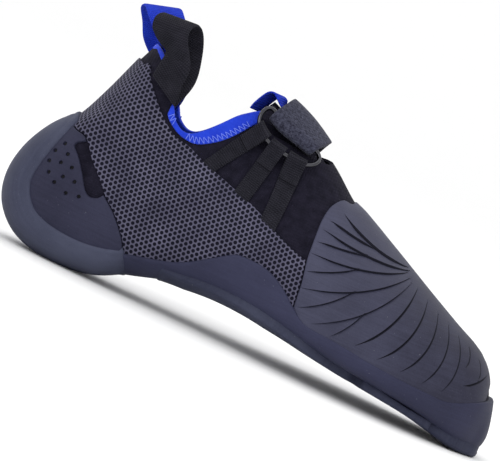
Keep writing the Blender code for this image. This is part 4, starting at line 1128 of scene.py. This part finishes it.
def strip(name, path, row, offset, width, lean, thickness, look, lanes, lean_from=RING_DROP):
    """A strap over the surface with rounded edges: path holds its runs from the crest and heights."""
    path = np.asarray(path)
    square = left_of(directions(path)) * thickness / 2
    count = len(path)
    run_length = run_lengths(path)
    across_at = np.linspace(-width / 2, width / 2, lanes)
    edge = thickness * 0.35
    first, last = across_at[0], across_at[-1]
    across_at = np.concatenate((
        (first, first + edge * 0.3, first + edge), across_at[1:-1], (last - edge, last - edge * 0.3, last),
    ))
    squeeze = np.concatenate(((0.45, 0.8, 1.0), np.ones(lanes - 2), (1.0, 0.8, 0.45)))
    places, uv = [], []
    for across, thin in zip(across_at, squeeze):
        for sign, order in ((1, range(count)), (-1, range(count - 1, -1, -1))):
            for k in order:
                run, height = path[k] + sign * square[k] * thin
                places.append((run, offset + across + lean * max(0.0, -run - lean_from), height))
                uv.append((run_length[k], across))
    run, across, height = np.array(places).T
    points = Instep.spots(row, run - sag(run, across), across, height)
    wide = 2 * count
    faces = tube(len(across_at), wide)
    for start, flip in ((0, 1), ((len(across_at) - 1) * wide, -1)):
        for k in range(count - 1):
            faces.append(tuple(start + i for i in (k, wide - 1 - k, wide - 2 - k, k + 1))[::flip])
    return add_mesh(name, points, faces, look, np.array(uv))


def fold(centre_run, centre_height, radius, toward, steps=15):
    """Half a turn round a bar, from under it to over it, on the side that toward names."""
    spots = []
    for turn in np.linspace(-math.pi / 2, math.pi / 2, steps):
        run = centre_run + toward * radius * math.cos(turn)
        spots.append((run, centre_height + radius * math.sin(turn)))
    return spots


def run_to_line(row, across, lean, sign, line, height):
    """How far round a strap goes before it meets a side line."""
    for run in np.arange(0.010, 0.080, 0.001):
        aside = across + lean * max(0.0, run - RING_DROP) * (sign < 0)
        spot = Instep.spots(row, sign * run - sag(sign * run, aside), aside, height)[0]
        if spot[2] < np.interp(spot[0], line[:, 0], line[:, 1]):
            return sign * run
    return sign * 0.08


def make_closure():
    """The strap folded over the ring's upper bar, the three tapes over its lower bar, and the ring."""
    low = GAP + STRAP_THICKNESS / 2
    high = low + STRAP_THICKNESS + GAP
    radius = RING_WIRE / 2 + GAP + STRAP_THICKNESS / 2
    start = run_to_line(RING_ROW, 0, 0, 1, QUARTER_SIDE, low)
    under = [(run, low) for run in np.linspace(start, UPPER_BAR + 0.004, 36)]
    over = UPPER_BAR + 0.004
    back = [(run, high) for run in np.linspace(over + 0.003, over + STRAP_RETURN - 0.006, 16)]
    path = under + fold(UPPER_BAR, RING_HEIGHT, radius, -1) + back
    size = STRAP_WIDTH, STRAP_LEAN, STRAP_THICKNESS
    thing = strip("strap_cloth", path, RING_ROW, 0.0, *size, STRAP, 13, 0.0)
    dress(thing, "strap_fabric", "strap")

    low = GAP + TAPE_THICKNESS / 2
    high = low + TAPE_THICKNESS + GAP
    radius = RING_WIRE / 2 + GAP + TAPE_THICKNESS / 2
    pitch = TAPE_WIDTH + TAPE_SPACE
    for number, label, lean in ((-1, "rear", -0.26), (0, "middle", 0.11), (1, "front", 0.33)):
        offset = RING_SHIFT + number * pitch
        end = run_to_line(RING_ROW, offset, lean, -1, QUARTER_SIDE, low)
        under = [(run, low) for run in np.linspace(end, LOWER_BAR - 0.005, 24)]
        back = [(LOWER_BAR - 0.004, high + 0.0012), (LOWER_BAR - 0.0065, high + 0.0004)]
        back += [(run, high) for run in np.linspace(LOWER_BAR - 0.008, LOWER_BAR - TAPE_RETURN, 4)]
        path = under + fold(LOWER_BAR, RING_HEIGHT, radius, 1) + back
        size = TAPE_WIDTH, lean, TAPE_THICKNESS
        thing = strip("tape_" + label + "_web", path, RING_ROW, offset, *size, WEBBING, 5)
        dress(thing, "webbing", "tape_" + label)

    flat_x = RING_LENGTH / 2 - RING_WIRE / 2 - RING_CORNER
    flat_y = RING_WIDTH / 2 - RING_WIRE / 2 - RING_CORNER
    spots = []
    for turn, middle in enumerate(((1, 1), (-1, 1), (-1, -1), (1, -1))):
        for angle in np.radians(np.linspace(0, 90, 9) + 90 * turn):
            out = RING_CORNER * math.cos(angle), RING_CORNER * math.sin(angle)
            spots.append((middle[0] * flat_x + out[0], middle[1] * flat_y + out[1]))
        if turn in (0, 2):
            edge = spots[-1][1]
            spots += [(middle[0] * flat_x * share, edge) for share in np.linspace(0.85, -0.85, 12)]
    curve = bpy.data.curves.new("ring_wire", "CURVE")
    curve.dimensions = "3D"
    curve.bevel_depth = RING_WIRE / 2
    curve.bevel_resolution = 6
    spline = curve.splines.new("POLY")
    spline.points.add(len(spots) - 1)
    spline.use_cyclic_u = True
    for point, (across, run) in zip(spline.points, spots):
        across += RING_SHIFT
        run -= RING_DROP
        point.co = (*Instep.spots(RING_ROW, run - sag(run, across), across, RING_HEIGHT)[0], 1)
    curve.materials.append(METAL)
    thing = placed("ring_wire", curve)
    dress(thing, "dark_metal", "ring")


def ribbon(name, path, widths, normals, width, thickness, look):
    """A flat strip along a path with soft edges: widths run across it, normals stand on it."""
    lanes = [
        (-0.5, 0.35), (-0.47, 0.85), (-0.42, 1.0), (-0.2, 1.0), (0.0, 1.0), (0.2, 1.0), (0.42, 1.0),
        (0.47, 0.85), (0.5, 0.35),
    ]
    points, uv = [], []
    for place, across, up, length in zip(path, widths, normals, run_lengths(path)):
        across = across / np.linalg.norm(across) * width
        up = up / np.linalg.norm(up) * thickness / 2
        ring = [(share, thin) for share, thin in lanes] + [(share, -thin) for share, thin in lanes[::-1]]
        for share, thin in ring:
            points.append(place + across * share + up * thin)
            uv.append((length, share * width))
    wide = 2 * len(lanes)
    faces = tube(len(path), wide)
    faces.append(tuple(range(wide - 1, -1, -1)))
    faces.append(tuple((len(path) - 1) * wide + j for j in range(wide)))
    return add_mesh(name, points, faces, look, np.array(uv))


def wall_spot(x, z, sign):
    """Where the last's wall stands at a place seen from the side, and its normal."""
    rows = np.arange(13, 24.01, 0.25)
    rounds = np.linspace(0.1, 0.95, 35) * sign
    grid = last_points(rows, rounds)
    apart = np.hypot(grid[:, :, 0] - x, grid[:, :, 2] - z)
    i, j = np.unravel_index(apart.argmin(), apart.shape)
    row, turn = rows[i], rounds[j]
    for _ in range(4):
        here = last_points([row], [turn])[0, 0][[0, 2]]
        reach = min(row + 0.05, LAST_ROW) - row
        by_row = (last_points([row + reach], [turn])[0, 0][[0, 2]] - here) / reach
        by_turn = (last_points([row], [turn + 0.01])[0, 0][[0, 2]] - here) / 0.01
        change = np.linalg.lstsq(np.column_stack((by_row, by_turn)), np.array((x, z)) - here, rcond=None)[0]
        row = float(np.clip(row + change[0], 13, 23.9))
        turn = float(turn + change[1])
    return last_points([row], [turn])[0, 0], last_normals([row], [turn])[0, 0]


def make_loops():
    """The two pull loops through the collar's rear and the small one on the tongue."""
    stand = LOOP_STAND + LOOP_THICKNESS / 2
    through = UPPER_WALL + 2 * LOOP_STAND + LOOP_THICKNESS
    for name, table, sign, look, slot in (
        ("pull_loop_lateral", LOOP_LATERAL, -1, WEBBING, "webbing"),
        ("pull_loop_medial", LOOP_MEDIAL, 1, BLUE_WEBBING, "blue_fabric"),
    ):
        wall, normal = wall_spot(*side(*table[0][:2]), sign)
        places = []
        for x, z, depth, tilt in table:
            near = 0 if depth else abs(wall_spot(*side(x, z), sign)[0][1])
            level = sign * max(abs(wall[1]), near)
            places.append((*side(x, z), level + sign * stand - sign * depth * through, math.radians(tilt)))
        path = catmull_rom(places, np.linspace(0, len(places) - 1, 10 * len(places) - 9))
        tilt = path[:, 3]
        path = path[:, [0, 2, 1]]
        rise = np.clip((path[:, 2] - path[0, 2]) / (path[:, 2].max() - path[0, 2]), 0, 1)[:, None]
        widths = np.column_stack((np.cos(tilt), np.zeros(len(path)), np.sin(tilt)))
        widths -= (1 - rise) * (widths @ normal)[:, None] * normal
        normals = np.cross(np.gradient(path, axis=0), widths)
        thing = ribbon(name + "_web", path, widths, normals, LOOP_WIDTH, LOOP_THICKNESS, look)
        dress(thing, slot, name)

    sewn = -UPPER_WALL - GAP - BINDING_THICKNESS + TONGUE_LOOP_THICKNESS / 2
    base = [Instep.spots(row, 0, 0, sewn)[0][[0, 2]] for row in (13.0, 13.5, 14.0)]
    places = np.vstack((base, [side(*point) for point in TONGUE_LOOP]))
    line = catmull_rom(places, np.linspace(0, len(places) - 1, 8 * len(places) - 7))
    path = np.column_stack((line[:, 0], np.zeros(len(line)), line[:, 1]))
    turn = math.radians(TONGUE_LOOP_TURN) * np.clip((np.arange(len(path)) - 12) / 20, 0, 1)
    widths = np.column_stack((np.sin(turn), np.cos(turn), np.zeros(len(path))))
    normals = np.cross(np.gradient(path, axis=0), widths)
    size = TONGUE_LOOP_WIDTH, TONGUE_LOOP_THICKNESS
    thing = ribbon("tongue_loop_web", path, widths, normals, *size, BLUE_WEBBING)
    dress(thing, "blue_fabric", "tongue_loop")


class Face:
    """A sheet's outer face, whose points are found from their place in the side view."""

    def __init__(self, sheet, height):
        self.points = sheet.at + sheet.normal * np.reshape(height, (-1, 1))
        self.normals = sheet.normal

    def gap(self, place):
        """How far a side-view place is from the face."""
        return np.linalg.norm(self.points[:, [0, 2]] - place, axis=1).min()

    def spots(self, places, lift):
        """Points on the face at side-view places, lifted off it."""
        found = []
        for place in places:
            gap = np.linalg.norm(self.points[:, [0, 2]] - place, axis=1)
            near = np.argpartition(gap, 5)[:5]
            weight = 1 / (gap[near] ** 2 + 1e-9)
            weight /= weight.sum()
            normal = weight @ self.normals[near]
            point = np.array((place[0], weight @ self.points[near, 1], place[1]))
            found.append(point + normal * lift)
        return np.array(found)


def sew(name, paths, radius):
    """Round threads along open paths, joined in one piece that rides on the root."""
    around = 6
    points, faces, uv = [], [], []
    for path in paths:
        along = directions(path)
        out = np.cross(along, (0.31, 0.83, 0.46))
        out /= np.linalg.norm(out, axis=1, keepdims=True)
        up = np.cross(along, out)
        start = len(points)
        for k, place in enumerate(path):
            thin = 0.35 if k in (0, len(path) - 1) else 1.0
            for turn in np.arange(around) * 2 * math.pi / around:
                points.append(place + radius * thin * (out[k] * math.cos(turn) + up[k] * math.sin(turn)))
                uv.append((k * 0.001, turn * radius))
        for k in range(len(path) - 1):
            low, high = start + k * around, start + (k + 1) * around
            for j in range(around):
                after = (j + 1) % around
                faces.append((low + j, high + j, high + after, low + after))
        faces.append(tuple(start + j for j in range(around)))
        faces.append(tuple(start + (len(path) - 1) * around + j for j in range(around - 1, -1, -1)))
    thing = add_mesh(name, points, faces, THREAD, np.array(uv))
    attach(thing, "root")


def spaced(line, pitch):
    """Places along a side line at even steps, and the directions square to it, upward."""
    run = run_lengths(line)
    stations = np.arange(pitch / 2, run[-1], pitch)
    places = np.column_stack([np.interp(stations, run, line[:, k]) for k in (0, 1)])
    return places, left_of(directions(places))


def ladder(face, line, pitch, height, lean, lift):
    """Overedge stitches on a face: a rung square to the line, then a slanted thread to the next."""
    places, up = spaced(line, pitch)
    paths = []
    for k, (place, square) in enumerate(zip(places, up)):
        top = place + square * height
        if face.gap(top) > 0.0005 or face.gap(place) > 0.0005:
            continue
        rung = [place + square * height * share for share in (0.0, 0.12, 0.5, 0.88, 1.0)]
        lifts = np.array((-0.4, 1.0, 1.3, 1.0, -0.4)) * lift
        paths.append(np.vstack([face.spots([spot], rise) for spot, rise in zip(rung, lifts)]))
        if lean and k + 1 < len(places):
            low = places[k + 1]
            slant = [top + (low - top) * share for share in (0.0, 0.15, 0.5, 0.85, 1.0)]
            paths.append(np.vstack([face.spots([spot], rise * 0.7) for spot, rise in zip(slant, lifts)]))
    return paths


def make_binding():
    """The collar's folded edging: a bead that stands over the upper's edge on both faces."""
    collar = smooth_line(COLLAR)
    low = smooth_line(BINDING_LOW)
    end, across_end = (side(*place) for place in BINDING_END)
    out = np.array((end[1] - across_end[1], across_end[0] - end[0]))
    for label, sign in (("lateral", -1), ("medial", 1)):
        sheet = full_sheet(12.5, step=0.05, around=300)
        seen = sheet.seen(0.0)
        depth = inside(seen, below(collar))
        depth = np.minimum(depth, -inside(seen, below(low)))
        depth = np.minimum(depth, seen[:, 0] - side(BINDING_REAR, 0)[0])
        depth = np.minimum(depth, (end - seen) @ (out / np.linalg.norm(out)))
        depth = np.minimum(depth, sign * sheet.at[:, 1] - 0.001)
        trimmed(sheet, depth, SHEET_EDGE)
        crown = rounded(sheet.fields["depth"], GAP + BINDING_THICKNESS, SHEET_EDGE)
        name, uv = "collar_binding_" + label + "_fold", UNROLL(sheet.at)
        thing = skin(name, sheet, crown, -UPPER_WALL - crown, LINING, uv, under=True, floor=False)
        dress(thing, "blue_fabric", "collar_binding_" + label)
        paths = ladder(Face(sheet, crown), shifted(low, 0.0002)[8:-2], **COLLAR_STITCH)
        outside = [path for path in paths if (path[:, 1] * sign > 0.001).all()]
        sew("collar_stitches_" + label, outside, COLLAR_THREAD)


def make_inside():
    """The insole and the tongue keep their solids and take their looks here."""
    for node, look in (("insole", INSOLE), ("tongue", STRETCH)):
        thing = NODES[node]
        thing.data.materials.clear()
        thing.data.materials.append(look)


make_upper()
make_rand()
make_heel_block()
make_outsole()
make_cups()
make_quarter()
make_toe_patch()
make_closure()
make_loops()
make_binding()
make_inside()


def make_studio():
    """A pale floor that sweeps up far behind, and soft light all round."""
    near, wall, radius = -6.0, 6.5, 2.0
    profile = [(near, 0.0)]
    for turn in np.linspace(0, math.pi / 2, 13):
        profile.append((wall - radius + radius * math.sin(turn), radius - radius * math.cos(turn)))
    profile.append((wall, 5.0))
    points = [(x, y, z) for y, z in profile for x in (-5.0, 5.0)]
    faces = [(2 * k, 2 * k + 1, 2 * k + 3, 2 * k + 2) for k in range(len(profile) - 1)]
    mesh = bpy.data.meshes.new("studio_floor")
    mesh.from_pydata(points, [], faces)
    mesh.shade_smooth()
    floor = placed("studio_floor", mesh)
    mesh.materials.append(Look("studio_floor", (0.97, 0.97, 0.97), 0.9).material)

    world = bpy.data.worlds.new("studio")
    bpy.context.scene.world = world
    world.use_nodes = True
    world.node_tree.nodes["Background"].inputs["Color"].default_value = (1, 1, 1, 1)
    world.node_tree.nodes["Background"].inputs["Strength"].default_value = 1.03
    bpy.context.scene.view_settings.view_transform = "Standard"
    for name, place, size, power in (
        ("key_light", (-0.7, -1.1, 1.2), 1.0, 7),
        ("fill_light", (1.2, -0.9, 0.7), 1.0, 1.5),
        ("top_light", (0.3, 0.3, 1.6), 1.2, 4),
    ):
        data = bpy.data.lights.new(name, "AREA")
        data.size = size
        data.energy = power
        light = placed(name, data)
        light.location = place
        direction = Vector((0.07, 0, 0.04)) - light.location
        light.rotation_euler = direction.to_track_quat("-Z", "Y").to_euler()


# The photograph's frame on the shoe's middle plane
FRAME_WIDTH = 0.2195
FRAME_CENTRE = Vector((0.0739, 0.0, 0.0487))
ROLL = math.radians(25.3)
CAMERA_DISTANCE = 1.5
CAMERA_ELEVATION = math.radians(3.0)


def make_camera():
    """A long lens square to the shoe's side, rolled as the photograph is."""
    data = bpy.data.cameras.new("camera")
    data.sensor_width = 36.0
    data.lens = 36.0 * CAMERA_DISTANCE / FRAME_WIDTH
    data.clip_end = 50.0
    camera = placed("camera", data)
    back = Vector((0, -math.cos(CAMERA_ELEVATION), math.sin(CAMERA_ELEVATION)))
    level = Vector((0, 0, 1)).cross(back).normalized()
    up = back.cross(level)
    right = level * math.cos(ROLL) + up * math.sin(ROLL)
    top = up * math.cos(ROLL) - level * math.sin(ROLL)
    turned = Matrix((right, top, back)).transposed().to_4x4()
    turned.translation = FRAME_CENTRE + back * CAMERA_DISTANCE
    camera.matrix_world = turned
    bpy.context.scene.camera = camera


make_studio()
make_camera()
